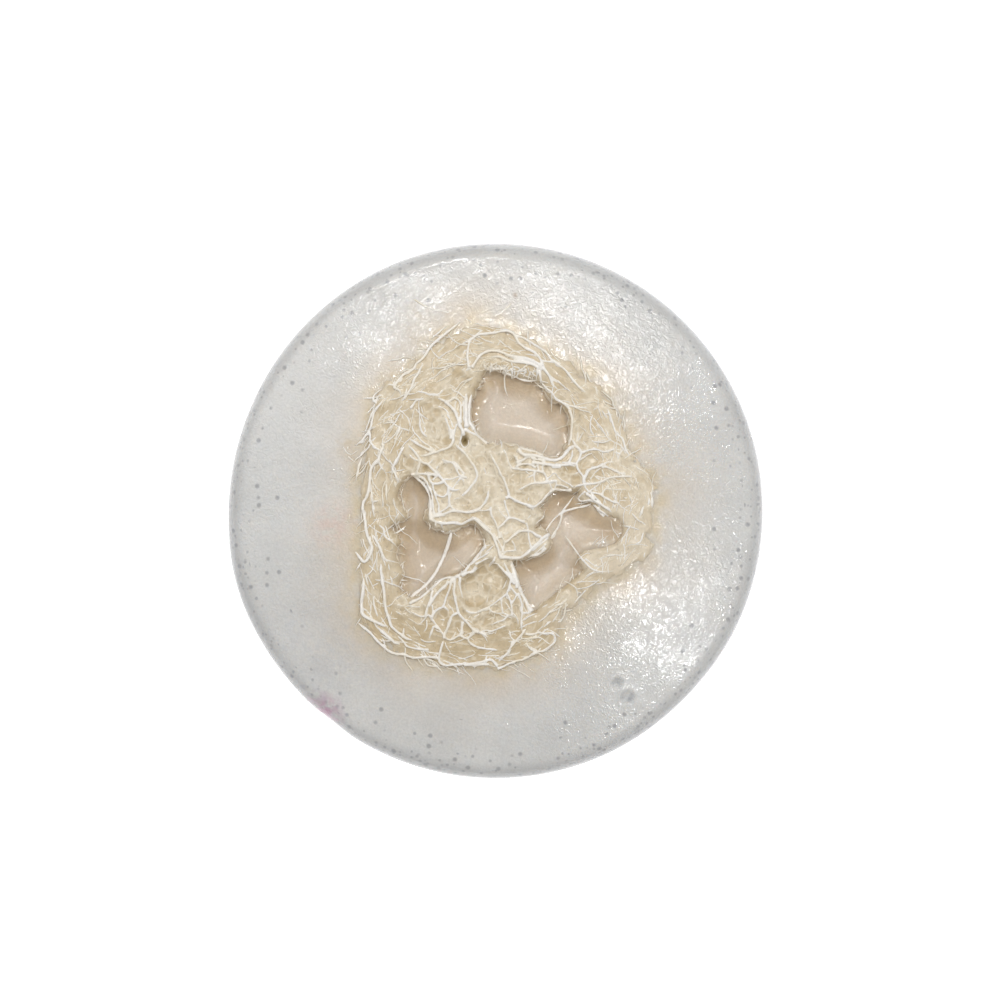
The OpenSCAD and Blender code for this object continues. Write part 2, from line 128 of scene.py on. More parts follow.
# strands of the luffa: width, depth below the top of the tissue, then points along the middle
strands = dict(outer=[
    # top, from left to right
    (0.42, 0.0, [(-5.2, 24.5), (-4.5, 24.8), (-3.8, 25.1), (-3.2, 25.6), (-2.5, 26), (-1.5, 26.1),
        (-0.5, 26.2), (0.6, 26.4), (1.6, 26.6), (2.3, 26.4), (2.8, 25.9), (3.1, 25.4), (3.4, 24.8),
        (4, 24.3), (4.8, 23.8), (5.6, 23.4), (6.2, 22.9), (6.6, 22.3), (6.9, 21.7), (7.1, 21),
        (7.6, 20.3), (8, 19.6), (8.3, 18.8), (8.6, 18.1)]),
    (0.38, 0.0, [(2.8, 25.9), (3.9, 25.6), (4.8, 25.1), (5.7, 24.5), (6.6, 24), (7.3, 23.5), (7.8, 22.9),
        (8.2, 22.3), (8.9, 21.8), (9.6, 21.3), (10.2, 20.8), (10.7, 20.2), (11.2, 19.5), (11.8, 18.8),
        (12.5, 18.1), (13.4, 17.3)]),
    (0.3, 0.1, [(6.8, 22.1), (7.6, 22), (8.6, 21.9)]),
    (0.22, 0.2, [(8.9, 22), (9.8, 21.6), (10.8, 21), (11.8, 20.3)]),
    (0.35, 0.0, [(-3.8, 25), (-4, 24.2), (-4.1, 23.3), (-4.1, 22.5), (-4, 21.7), (-3.9, 21.1)]),
    (0.28, 0.1, [(-4.8, 22.7), (-4.7, 23.2), (-4.4, 23.7)]),
    (0.5, 0.15, [(-4.6, 20.4), (-4.2, 20.7), (-3.8, 21), (-3.4, 20.3)]),
    (0.28, 0.0, [(0.1, 24.1), (0.5, 24.7), (0.9, 25.3)]),
    (0.25, 0.1, [(-1.9, 24.1), (-1.8, 24.7)]),
    (0.3, 0.1, [(8, 19.6), (8.8, 19.1), (9.7, 18.6)]),
    # rim of the open chamber
    (0.45, -0.1, [(-3.5, 21.1), (-3, 21.8), (-2.5, 22.5), (-2, 23.1), (-1.2, 23.5), (-0.3, 23.6),
        (0.8, 23.4), (1.8, 23), (2.8, 22.7), (3.8, 22.6), (4.8, 22.4), (5.7, 22), (6.3, 21.6),
        (6.8, 21.2)]),
    (0.4, 0.0, [(1.4, 23.0), (2.6, 22.5), (3.8, 22.3), (5, 22.1), (5.9, 21.6)]),
    (0.42, 0.0, [(-1, 22.6), (0, 22.7), (0.9, 22.6), (1.6, 22.3), (2.5, 22), (3.5, 21.9), (4.4, 21.8),
        (5.3, 21.6), (6.2, 21.1), (6.9, 20.9)]),
    (0.28, 0.1, [(1, 22.5), (1.1, 22), (1.4, 21.6)]),
    (0.45, 0.1, [(-1, 21), (-0.2, 20.95), (0.7, 21), (1.4, 20.9)]),
    (0.35, 0.1, [(-1.7, 22), (-1.6, 21.3), (-1.3, 20.8)]),
    (0.3, 0.0, [(-1, 21), (-0.6, 21.4), (0, 21.7), (0.6, 22)]),
    (0.4, 0.3, [(1, 20.6), (1.9, 20.2), (2.8, 19.9), (3.6, 19.5), (4.5, 19.2), (5.5, 19.2), (6.2, 19.3)]),
    (0.35, 0.15, [(6.5, 20.6), (6.6, 19.9), (6.7, 19.2), (7, 18.7), (7.5, 18.1), (8.3, 17.4), (9, 16.4),
        (10.1, 15.8), (10.9, 14.9), (11.2, 13.8)]),
    (0.4, 0.0, [(10.9, 14.9), (11.3, 13.6), (11.2, 12.2), (11.1, 11), (10.9, 10.2), (10.7, 9.4)]),
    (0.3, 0.1, [(10.1, 15.8), (11.3, 15.4), (12.6, 15.2), (13.8, 15.1)]),
    (0.25, 0.1, [(12, 12.3), (12.1, 11), (11.9, 10.2), (11.7, 9.6)]),
    # upper left
    (0.28, 0.0, [(-7, 27.3), (-7.8, 26.8), (-8.7, 26), (-9.5, 25.4)]),
    (0.4, 0.0, [(-5.2, 27.9), (-6, 27.2), (-6.8, 26.6), (-7.8, 25.8), (-8.9, 24.9), (-9.6, 24.1),
        (-10.2, 23.2), (-10.8, 22.4), (-11.6, 21.7), (-12, 21), (-12.7, 20.4), (-13.5, 20.1),
        (-14.1, 19.5), (-14.5, 18.9), (-14.9, 18.2), (-14.3, 17.9), (-14, 17.4), (-13.9, 16.8)]),
    (0.22, 0.05, [(-14.2, 20.2), (-14.6, 19.7), (-14.9, 19), (-15, 18.4)]),
    (0.25, 0.05, [(-16.3, 18.6), (-15.6, 18.6), (-15, 18.5)]),
    (0.38, 0.0, [(-10.6, 21.9), (-10.9, 21.2), (-11.4, 20.2), (-11.9, 19.4), (-12.2, 18.6), (-12.6, 17.7),
        (-13.2, 16.9), (-13.9, 16)]),
    (0.22, 0.1, [(-13, 18.8), (-13, 18), (-13.3, 17.2)]),
    (0.26, 0.1, [(-16.3, 17.6), (-17, 17.1), (-17.5, 16.5), (-17.6, 15.8)]),
    (0.26, 0.1, [(-16.6, 18), (-17.4, 17.5), (-18, 16.8), (-17.9, 16)]),
    (0.35, 0.0, [(-16.5, 16.5), (-16.8, 15.9), (-17.3, 15.3), (-17.8, 14.6), (-18, 13.9), (-18.2, 13.1),
        (-18.3, 12.5), (-18.6, 11.8), (-19, 11.2), (-19.5, 10.5), (-20.2, 9.9), (-20.8, 9.6)]),
    (0.22, 0.1, [(-19.2, 13.8), (-19.2, 12.9), (-19, 12.3)]),
    (0.32, 0.0, [(-18.6, 11.7), (-18.4, 11), (-18.5, 10.3), (-18.1, 9.8), (-17.5, 9.2), (-16.6, 8.7),
        (-16, 8.2)]),
    (0.22, 0.1, [(-17, 11.4), (-17.6, 10.8), (-18.1, 10.3)]),
    (0.22, 0.2, [(-15.7, 13.2), (-15, 12.8), (-14.4, 12.1), (-13.7, 12)]),
    (0.22, 0.2, [(-8, 21.3), (-7.7, 20.6), (-7.5, 20)]),
    (0.22, 0.2, [(-5.9, 21), (-5.4, 22)]),
    (0.22, 0.0, [(-22.6, 9.8), (-22.2, 9.1), (-21.9, 8.6), (-21.3, 8.3), (-20.7, 8.6), (-20.1, 9.1)]),
    (0.25, 0.0, [(-21.7, 8), (-21.1, 7.5), (-20.4, 7)]),
    (0.18, 0.0, [(-21.8, 9.1), (-21.6, 9.9)]),
    # left side, down
    (0.42, 0.0, [(-16.3, 10), (-16.7, 9), (-17.1, 8), (-17.1, 7.3), (-16.8, 6.5), (-16.4, 6)]),
    (0.48, -0.05, [(-17.2, 7.4), (-18, 6.7), (-18.3, 6), (-18.4, 5), (-18.5, 4), (-18.6, 3), (-18.9, 2.1),
        (-19.4, 1.2), (-19.5, 0.3), (-19.3, -0.6), (-19.1, -1.6), (-19, -2.6), (-18.8, -3.6),
        (-18.4, -4.6), (-18.1, -5.3), (-18.3, -6.2), (-18.7, -7), (-19.3, -7.5), (-19.9, -6.9),
        (-20.6, -6)]),
    (0.28, 0.2, [(-18.4, 9.4), (-18.5, 8.3), (-18.5, 7.3), (-18.3, 6.5)]),
    (0.32, 0.15, [(-18.4, 3.8), (-18.2, 2.8), (-18.2, 1.8), (-18, 1), (-17.8, 0.2), (-17.8, -0.6)]),
    (0.3, 0.1, [(-17.9, 1.4), (-17.2, 1.5), (-16.6, 1.8)]),
    (0.42, 0.0, [(-16.1, 4.2), (-16, 3.4), (-16, 2.4), (-15.9, 1.4)]),
    (0.42, -0.05, [(-13.4, 9.5), (-13.9, 8.6), (-14.4, 7.7), (-14.9, 6.8), (-15.1, 6.2), (-14.7, 5.4),
        (-14.4, 4.7), (-14.1, 4.2)]),
    (0.42, 0.0, [(-19.6, 7.8), (-20, 6.8), (-20.2, 5.9), (-20.4, 5), (-20.5, 4.4)]),
    (0.3, 0.15, [(-21.3, 0), (-21.5, -0.8), (-21.4, -1.7)]),
    (0.42, 0.0, [(-18, -3.5), (-17.6, -4.2), (-17.1, -5), (-16.8, -5.8), (-16.5, -6.6), (-16, -7.3),
        (-15.6, -7.6)]),
    (0.35, 0.1, [(-17.4, -1.8), (-16.9, -2.2), (-16.4, -2.7), (-16.3, -3.4), (-15.9, -4), (-15.2, -4.3),
        (-14.6, -4.1)]),
    (0.3, 0.2, [(-15.3, -3.3), (-14.6, -3.2), (-14.1, -2.9), (-13.6, -2.6), (-13.2, -2.2)]),
    (0.25, 0.0, [(-19.8, -7.6), (-20.2, -8.3), (-20.7, -9)]),
    (0.48, -0.05, [(-16.8, -7.8), (-16.8, -9), (-16.6, -10.3), (-16.4, -11.5), (-16.3, -12.7),
        (-16.2, -14), (-15.9, -15), (-15.6, -16), (-15.3, -16.9), (-14.6, -17.6), (-13.8, -18.2),
        (-13.1, -18.7), (-12.2, -19)]),
    (0.32, 0.0, [(-14.6, -18.2), (-13.6, -19.1), (-13.1, -19.8), (-12.3, -20.1), (-11, -20.3),
        (-9.8, -20.4)]),
    (0.52, 0.0, [(-19.4, -9.8), (-19.4, -11), (-19.5, -12.2), (-19.7, -13.4), (-19.7, -14.5),
        (-19.6, -15.1), (-19, -15.6), (-18.2, -16), (-17.4, -16.4), (-16.6, -16.8), (-16.1, -17)]),
    (0.32, 0.1, [(-17.8, -12), (-17.9, -13), (-17.8, -14), (-17.5, -15), (-17.1, -16)]),
    (0.5, 0.0, [(-17.4, -17.1), (-16.7, -17.7), (-16, -18.3), (-15.3, -18.9), (-14.7, -19.4),
        (-14, -19.6)]),
    (0.4, 0.0, [(-20.2, -16.5), (-19.6, -17), (-18.8, -17.6), (-18, -18.4), (-17.3, -19.2), (-16.5, -20),
        (-15.6, -20.7), (-14.7, -21), (-13.6, -21.1), (-12.7, -21.4), (-11.8, -21.6), (-11, -21.5),
        (-10.3, -21.5), (-9.4, -21.5), (-8.6, -21.5)]),
    (0.35, 0.2, [(-15.7, -8.5), (-15.2, -9.1), (-14.6, -9.6)]),
    (0.26, 0.1, [(-14.9, -10.8), (-14.2, -11.1), (-13.6, -11.3)]),
    (0.26, 0.1, [(-13.5, -12.4), (-13, -12.8), (-12.4, -12.7)]),
    (0.26, 0.1, [(-15.2, -13.7), (-14.4, -13.8), (-13.4, -14.1)]),
    (0.3, 0.05, [(-15, -14.5), (-14.2, -15), (-13.4, -15.4)]),
    (0.3, 0.0, [(-13.4, -16.8), (-13.5, -17.6), (-13.5, -18.3)]),
    # bottom
    (0.4, 0.0, [(-7.6, -18.9), (-7.8, -19.5), (-8, -20.2), (-8.2, -21), (-8.3, -21.8), (-8.1, -22.3),
        (-7.4, -22.7), (-6.4, -22.6), (-5.4, -22.5), (-4.3, -22.5), (-3.2, -22.4), (-2.2, -22.2),
        (-1.4, -22), (-0.7, -21.8), (-0.2, -22.2), (0.3, -22.8)]),
    (0.5, 0.1, [(-4.6, -22.5), (-3, -22.6), (-1.6, -22.5), (-0.6, -22.6)]),
    (0.25, 0.1, [(-10.5, -20.5), (-9.7, -20.8), (-9, -20.9), (-8.3, -21)]),
    (0.25, 0.1, [(-7.5, -20.1), (-6.6, -20), (-5.8, -19.8)]),
    (0.2, 0.15, [(-4.2, -21.9), (-4, -21), (-3.8, -20.2)]),
    (0.2, 0.15, [(0.1, -18.3), (-0.2, -19), (-0.8, -19.9)]),
    (0.28, 0.0, [(-1.4, -20.8), (-1.3, -21.4), (-1.5, -22)]),
    (0.34, -0.05, [(0.4, -22.2), (1.1, -21.5), (1.7, -20.9), (2.2, -20.1), (2.9, -19.2), (3.5, -18.5),
        (4.1, -17.8), (4.6, -17.1)]),
    (0.28, 0.05, [(1.9, -17), (2.1, -17.8), (2.3, -18.6), (2.8, -19), (3.3, -19.1), (3.9, -18.7)]),
    (0.34, 0.0, [(0.3, -23.2), (1.3, -22.8), (2.1, -22.4), (3.1, -22), (3.9, -21.9), (4.8, -21.5),
        (5.4, -21), (6.2, -20.8)]),
    (0.34, 0.05, [(4.4, -18), (5.2, -18.1), (5.9, -18), (6.3, -17.8), (7, -18), (7.8, -17.9),
        (8.5, -18.1), (8.8, -18.7), (8.7, -19.3), (8.1, -19.8), (7.3, -20.4), (6.5, -20.7), (5.6, -20.5),
        (5, -20.1), (4.6, -19.6), (4.4, -18.9)]),
    (0.32, 0.05, [(6.9, -17.3), (7.5, -16.7), (8.1, -16.2), (8.5, -15.8)]),
    (0.34, 0.05, [(8.3, -14.2), (9, -13.8), (9.7, -13.6), (10.3, -13.1), (10.9, -12.6)]),
    (0.25, 0.0, [(11.2, -13.9), (12.3, -12.7), (13.6, -11.2)]),
    (0.22, -0.15, [(-3.2, -23.3), (-3, -22.7)]),
    (0.25, 0.1, [(-9.9, -22.1), (-9.2, -22.6), (-8.2, -23.2)]),
    # right side
    (0.34, 0.0, [(16.4, 15.2), (17, 13.6), (17.5, 12), (17.9, 11.3), (18.6, 10.7), (18.9, 9.9),
        (19.1, 9.1), (19.5, 8.4), (19.7, 7.9)]),
    (0.26, 0.05, [(20.2, 7), (21, 6.3), (22, 5.7), (22.9, 5)]),
    (0.3, 0.1, [(14.6, 18.8), (14.9, 17.6), (15, 16.6)]),
    (0.28, 0.1, [(16.1, 12.4), (16.6, 11.1), (16.7, 10.4)]),
    (0.2, 0.1, [(13.9, 10.6), (14, 9.8), (14.1, 9.2)]),
    (0.4, 0.0, [(22.6, 2), (22.5, 1.2), (22.4, 0.6)]),
    (0.4, 0.0, [(22, 1), (21.6, 0.3), (21.4, -0.4), (21, -1)]),
    (0.26, 0.05, [(21.9, -2.6), (21.6, -3.8), (21.2, -4.6), (20.1, -5)]),
    (0.26, 0.0, [(22.1, -5.7), (21.9, -6.4), (21.8, -7.1)]),
    (0.3, 0.05, [(10.2, -3.6), (11.5, -5.4), (13, -7.4), (14.2, -8.5), (15.4, -8.9), (16.5, -8.9)]),
    (0.24, 0.1, [(13.2, -7), (14.4, -7.9), (15.8, -8.4)]),
], left=[
    (0.32, 0.1, [(-12, 17.5), (-11.3, 17.6), (-10.5, 17.4), (-9.7, 17.2), (-9, 17.2), (-8.3, 17.2),
        (-7.9, 17.6), (-7.3, 18.2)]),
    (0.34, 0.0, [(-8.7, 16.7), (-8, 16.4), (-7.3, 16.1), (-6.6, 16.3), (-6.1, 16.7)]),
    (0.48, 0.0, [(-7.3, 16.1), (-6.8, 15.6), (-6.3, 15.1), (-5.9, 14.6), (-5.7, 13.9), (-5.4, 13.2),
        (-5.2, 12.5), (-4.8, 11.8), (-4.7, 11.2)]),
    (0.34, 0.0, [(-6, 16.7), (-5.6, 16.4), (-5.2, 16), (-5.1, 15.3), (-5.1, 14.5), (-5.1, 13.7),
        (-5.1, 13)]),
    (0.3, 0.0, [(-6.8, 18.5), (-6.4, 18), (-6.1, 17.6), (-5.5, 17.5), (-5, 17), (-4.5, 16.6),
        (-4.2, 16.2)]),
    (0.6, -0.05, [(-4.2, 17.3), (-4.3, 16), (-4.3, 15), (-4.3, 14), (-4.3, 13), (-4.2, 12.3)]),
    (0.5, 0.0, [(-3.5, 17.2), (-3.8, 16), (-3.9, 15), (-3.9, 14), (-3.8, 13), (-3.4, 12.4),
        (-3.1, 11.9)]),
    (0.28, 0.0, [(-4.7, 16.2), (-4.7, 15.2), (-4.6, 14.2), (-4.6, 13.2)]),
    (0.26, 0.05, [(-5.8, 16.1), (-5.9, 15.4), (-5.8, 14.7), (-5.5, 14.2)]),
    (0.28, 0.05, [(-5.7, 12.8), (-5.9, 12), (-6.1, 11), (-6.2, 10.3)]),
    (0.32, 0.05, [(-7.6, 14.2), (-7.3, 13.5), (-7, 12.8), (-6.7, 12), (-6.6, 11.2), (-6.6, 10.6)]),
    (0.24, 0.1, [(-7.1, 14.2), (-6.7, 13.6), (-6.4, 13), (-6.2, 12.3)]),
    (0.24, 0.15, [(-9.2, 15.4), (-8.1, 15.3), (-7.3, 14.9), (-6.9, 14.3)]),
    (0.34, 0.0, [(-11, 13.9), (-11.1, 13), (-11, 12.2), (-10.7, 11.5), (-10.2, 11), (-9.7, 10.7)]),
    (0.28, 0.05, [(-12.1, 13), (-12.2, 12.2), (-11.9, 11.5), (-11.4, 11), (-11, 10.5), (-10.4, 10),
        (-9.8, 9.6), (-9.3, 9.2), (-9, 8.8)]),
    (0.24, 0.1, [(-10.6, 12.8), (-10.4, 12.2), (-10.3, 11.6)]),
    (0.2, 0.15, [(-9.6, 12.6), (-9.2, 11.7), (-8.6, 10.9)]),
    (0.2, 0.2, [(-8.4, 13.6), (-8.7, 12.6), (-8.4, 11.6)]),
    (0.22, 0.1, [(-9.1, 10), (-8.8, 9.6), (-8.4, 9.2)]),
    (0.38, 0.0, [(-12.7, 10.6), (-12, 10.2), (-11.3, 9.8), (-10.6, 9.4), (-10, 9.1), (-9.3, 8.8)]),
    (0.42, 0.05, [(-11.3, 8.1), (-10.6, 8.1), (-9.9, 8.3), (-9, 8.6), (-8.1, 8.9), (-7.1, 9.2),
        (-6.6, 9.6), (-6.2, 10.3), (-6.2, 11), (-6.4, 12)]),
    (0.36, 0.0, [(-12.5, 15.1), (-12.1, 15.6), (-11.7, 16.2), (-11.2, 16.4), (-10.4, 16.4)]),
    (0.26, 0.1, [(-12.5, 15.1), (-12.1, 14.5)]),
    (0.42, 0.25, [(-4.5, 12.1), (-3.8, 11.6), (-3.1, 11.3), (-2.5, 10.9), (-1.9, 10.4), (-1.2, 9.9)]),
    (0.3, 0.1, [(-3.1, 11.9), (-2.7, 11.3), (-2, 10.6), (-1.3, 10)]),
    (0.3, 0.2, [(-4.1, 10.9), (-3.9, 10.2), (-4, 9.6), (-4.6, 9.3), (-5.1, 9.9), (-5.2, 10.7),
        (-4.9, 11.3)]),
], core=[
    (0.42, 0.0, [(-12.9, 9.7), (-12.3, 9.2), (-11.7, 8.5), (-11.1, 7.6), (-10.6, 7.1), (-9.9, 6.9),
        (-9.5, 6.4), (-8.9, 5.9), (-8.4, 5.4), (-7.7, 4.6), (-7.3, 4.1), (-6.8, 3.5), (-6.3, 3.1),
        (-5.6, 3.1), (-5.1, 3.3)]),
    (0.28, 0.1, [(-13, 8.7), (-12.5, 8.1), (-11.9, 7.6), (-11.2, 7.4)]),
    (0.26, 0.0, [(-9.9, 6.9), (-9.4, 7.3), (-8.8, 7.9)]),
    (0.3, 0.0, [(-8.7, 6.2), (-8.4, 6.6), (-8.2, 6.9)]),
    (0.34, 0.0, [(-8, 7.8), (-7.7, 7.5), (-7, 7.3), (-6.3, 7.1), (-5.9, 6.5), (-5.5, 5.7), (-5.1, 5.2),
        (-4.2, 4.9)]),
    (0.4, 0.15, [(-6.2, 7.9), (-6.1, 7.3), (-5.6, 6.8), (-5.2, 6.2), (-4.6, 5.4)]),
    (0.24, 0.05, [(-7.5, 4.7), (-6.4, 4.7), (-5.5, 5), (-5, 5), (-4.3, 4.9)]),
    (0.24, 0.05, [(-5, 4.9), (-5.6, 4.2), (-6, 3.7), (-6.4, 3.1)]),
    (0.22, 0.15, [(-4.9, 4.7), (-4.4, 4.2), (-4, 4)]),
    (0.42, 0.1, [(-6.1, 10), (-5.3, 9.2), (-4.6, 8.6), (-4, 7.9), (-3.5, 7.1), (-3, 6.4), (-2.7, 5.6),
        (-2.7, 5), (-3, 4.3), (-3.5, 3.7), (-4, 3), (-4.7, 2.4), (-5.3, 2.1)]),
    (0.42, 0.0, [(-12.2, 5.5), (-11.9, 5.1), (-11.4, 4.7), (-10.8, 4.2), (-10.3, 3.6), (-9.9, 2.8),
        (-9.6, 1.9), (-9.5, 1), (-9.6, 0), (-9.5, -0.9)]),
    (0.35, 0.0, [(-11.6, 5), (-10.7, 4.9), (-10.1, 4.2), (-9.7, 3.4), (-9.3, 2.4), (-9.2, 1.4),
        (-9.1, 0.4), (-8.9, -0.6)]),
    (0.45, 0.05, [(-11.9, 5.3), (-11, 5.5), (-10, 5.4), (-9.3, 5.4), (-8.5, 5.2)]),
    (0.35, 0.05, [(-11.1, 7.4), (-11.2, 6.6), (-11.5, 5.9), (-11.8, 5.3)]),
    (0.4, 0.05, [(-9.8, 5.3), (-9.7, 4.7), (-9.3, 4.1), (-8.7, 4), (-8.1, 4.1), (-7.5, 4.4)]),
    (0.24, 0.0, [(-9.2, 4.5), (-8.9, 4.9), (-8.4, 5.2)]),
    (0.32, 0.0, [(-9.2, 3.9), (-9.1, 3.2), (-8.9, 2.7), (-8.4, 2.3), (-7.7, 2.1), (-7.1, 2.5),
        (-6.9, 3.2)]),
    (0.28, 0.0, [(-8.9, 2.7), (-8.6, 1.7), (-8.3, 0.8), (-8.4, 0)]),
    (0.34, 0.0, [(-6.9, 3.4), (-6.8, 2.4), (-6.8, 1.6), (-6.7, 1), (-7.2, 0.4), (-7.9, 0), (-8.6, -0.5)]),
    (0.4, 0.0, [(-9.4, -0.8), (-8.4, -0.7), (-7.4, -0.4), (-6.4, 0), (-5.4, 0), (-4.2, -0.2), (-3.1, 0)]),
    (0.3, 0.0, [(-6.7, 1), (-6.4, 0.5), (-5.8, 0.1)]),
    (0.45, 0.0, [(-9.6, -1), (-8.6, -1.6), (-7.4, -1.8), (-6.2, -1.7), (-5, -1.9), (-4, -1.4),
        (-3.1, -1)]),
    (0.3, 0.0, [(-9.9, -1.6), (-9.6, -2.2), (-9.8, -2.8)]),
    (0.24, -0.1, [(-8.8, -1.8), (-8.6, -2.6)]),
    (0.24, -0.1, [(-8, -1.8), (-7.7, -2.7)]),
    (0.38, 0.0, [(-1, 3.3), (-1.1, 2.3), (-1.4, 1.5), (-1.8, 0.9), (-2.3, 0.4), (-3.1, 0)]),
    (0.34, 0.0, [(-0.8, 8.6), (-0.5, 7.9), (0, 7), (0.4, 6.2), (0.8, 5.4), (1.1, 4.8), (1.5, 4),
        (1.8, 3.1), (2, 2.2)]),
    (0.4, -0.05, [(1.5, 1.9), (2, 2.1), (2.6, 1.8), (3.3, 1.4), (4, 1.1), (4.8, 0.9), (5.6, 0.6),
        (6.1, 0.9), (6.8, 1.5), (7.4, 2.1), (7.9, 2.7), (8.5, 3.1), (9.2, 3.2), (10, 3.1), (11.2, 3.1)]),
    (0.4, 0.0, [(4.8, 0.9), (5.3, 0.4), (5.8, 0.1)]),
    (0.34, 0.0, [(2.1, 5.9), (2.4, 6.2), (3.1, 6.2), (4, 6.1), (5, 6), (5.8, 5.9), (6.5, 5.8),
        (7.1, 5.7)]),
    (0.34, 0.0, [(3, 6.4), (3.5, 6.8), (4.2, 6.9), (5, 6.9), (5.5, 6.6), (5.9, 6.4)]),
    (0.6, -0.05, [(3.4, 9.1), (3.8, 8.5), (4.4, 8.2), (5.2, 8.2), (6.1, 8.1), (7, 7.8), (8, 7.5),
        (9, 7.5), (9.9, 8), (10.5, 8.7), (11, 9.3), (11.7, 9.6)]),
    (0.4, 0.0, [(3.4, 9.3), (4.5, 9), (5.5, 8.8), (6.3, 8.5), (7, 8.1)]),
    (0.4, 0.0, [(3.1, 7), (3.5, 7.3), (4.1, 7.5), (4.6, 7.9), (5.2, 8.1)]),
    (0.3, 0.0, [(3, 8), (3.2, 7.5), (3.6, 7.3)]),
    (0.3, 0.0, [(5.2, 7.8), (5.9, 7.6), (6.6, 7.5), (7.3, 7.3)]),
    (0.45, 0.0, [(5.3, 7.1), (6.1, 7.1), (7, 6.9), (8, 6.8), (8.9, 6.7), (10, 6.8), (11, 6.8),
        (11.8, 6.5)]),
    (0.26, 0.0, [(6.1, 7.1), (6.2, 6.5), (6.4, 5.9)]),
    (0.26, 0.0, [(7, 6.9), (6.9, 6.3), (7, 5.8)]),
    (0.26, 0.0, [(8.3, 6.4), (9, 6.4), (9.6, 6.5)]),
    (0.3, 0.0, [(5.8, 5.9), (5.7, 5.3), (5.7, 4.6), (5.9, 4.2), (6.5, 4.2), (7.3, 4.3), (7.5, 4.7),
        (7.4, 5.2), (7.1, 5.6)]),
    (0.32, 0.0, [(3.1, 2.9), (3.8, 3.3), (4.5, 3.7), (5.2, 4), (6, 4.1), (7, 4.1), (7.6, 4.2), (8.3, 4.4),
        (9, 4.4)]),
    (0.22, 0.0, [(4.4, 4.4), (4.6, 4.8), (5.1, 5.1), (5.6, 5.3)]),
    (0.24, 0.0, [(7.1, 5.6), (7.5, 4.9), (7.8, 4.4), (8, 3.8), (8.3, 3.2)]),
    (0.22, 0.0, [(7.6, 4.7), (8.1, 5.1), (8.7, 5.6), (9.1, 5.1), (9.6, 4.6), (10.2, 4.3), (10.9, 3.9),
        (11.4, 3.5)]),
    (0.22, 0.0, [(8.9, 3.8), (9.6, 3.8), (10.2, 3.6), (10.7, 3.4)]),
    (0.2, 0.0, [(9, 4.4), (8.9, 3.9), (8.7, 3.4)]),
    (0.26, 0.15, [(0.6, 10.6), (0.9, 10), (0.9, 9.2), (0.8, 8.5)]),
    (0.28, 0.1, [(1.2, 9), (1.6, 8.3), (1.8, 7.5), (2.1, 6.8), (2.4, 6.3)]),
    (0.22, 0.05, [(2.2, 8.5), (2.9, 8), (3.1, 7.5)]),
    (0.22, 0.15, [(3.1, 10), (3.4, 9.5), (3.6, 9)]),
    (0.28, 0.0, [(1.3, 1.6), (1.6, 0.4), (1.9, -0.4), (2, -1)]),
    (0.22, 0.1, [(0.2, 0.9), (0.6, 0.1), (1.1, -0.6), (1.6, -1)]),
    (0.34, 0.0, [(1.7, -1.1), (2.3, -1), (2.9, -1.1), (3.6, -1.4), (4.3, -1.6)]),
    (0.34, 0.0, [(1.7, -1.2), (1.1, -1.9), (0.6, -2.3), (0.3, -2.6)]),
    (0.34, 0.0, [(-0.7, 0.6), (-0.7, 0), (-0.5, -0.7), (-0.2, -1.3), (0.1, -1.9), (0.3, -2.5),
        (0.5, -3.2), (0.6, -4)]),
    (0.24, 0.0, [(-3.1, 0), (-2.2, 0.1), (-1.5, 0.1), (-0.8, 0.3)]),
    (0.42, 0.0, [(-3.1, -1), (-2, -2.1), (-1.3, -2.7), (-0.6, -3.3), (-0.2, -4), (0.1, -4.7), (0.4, -5.5),
        (0.6, -6.3), (0.8, -6.9)]),
    (0.24, 0.0, [(-2.6, -1.1), (-2, -1.6), (-1.3, -2.2), (-0.6, -2.8)]),
    (0.28, 0.0, [(-0.3, -3.2), (0.2, -4), (0.6, -4.7), (1, -5.5), (1.1, -6)]),
    (0.28, 0.0, [(0.8, -3), (1, -3.8), (1.3, -4.5), (1.2, -5.2), (1.1, -6)]),
    (0.34, -0.05, [(1.3, -4.5), (1.9, -4.3), (2.5, -3.7), (3.1, -3.3), (3.5, -3), (4.2, -2.9),
        (4.9, -2.9), (5.4, -3.1), (6, -3.5), (6.7, -3.8)]),
    (0.22, 0.1, [(1.2, -3.4), (2, -3.1), (2.4, -2.7)]),
    (0.24, 0.05, [(2.4, -4.3), (2.8, -5), (2.9, -5.7), (3.4, -6.2)]),
    (0.28, 0.05, [(4.5, -1.7), (4.7, -2.3), (4.8, -3), (4.9, -4), (5.1, -4.9), (5.2, -5.5)]),
    (0.24, 0.05, [(0.9, -6.4), (1.4, -6), (2, -5.8), (2.8, -5.8)]),
    (0.5, 0.0, [(0.8, -6.7), (1.9, -6.8), (2.8, -6.9), (3.7, -6.8), (4.3, -6.4), (4.8, -6), (5.2, -5.6),
        (5.8, -5.1), (6.4, -4.5), (7, -3.9), (7.8, -3.5)]),
    (0.4, 0.05, [(4.8, -6.8), (5.4, -6.5), (6.2, -6.4), (6.9, -5.9), (7.4, -5.4)]),
    (0.24, 0.05, [(5.4, -5.8), (6.4, -5), (7.2, -4.4), (7.7, -3.9)]),
    (0.24, 0.05, [(5.6, -6.5), (6.6, -5.6), (7.4, -4.8)]),
    (0.28, 0.1, [(5.8, -2.1), (6.3, -1.5), (6.9, -1), (7.2, -0.3)]),
    # over and through the chambers
    (0.3, 0.5, [(7.2, -3.2), (8.1, -1.8), (8.8, -1), (9.5, -0.4), (10, 0.2), (10.8, 1.2), (11.6, 2.2)]),
    (0.34, 0.5, [(7.9, -4.4), (8.7, -3.2), (9.1, -2.6), (9.5, -1.8), (9.7, -0.9), (9.9, -0.3),
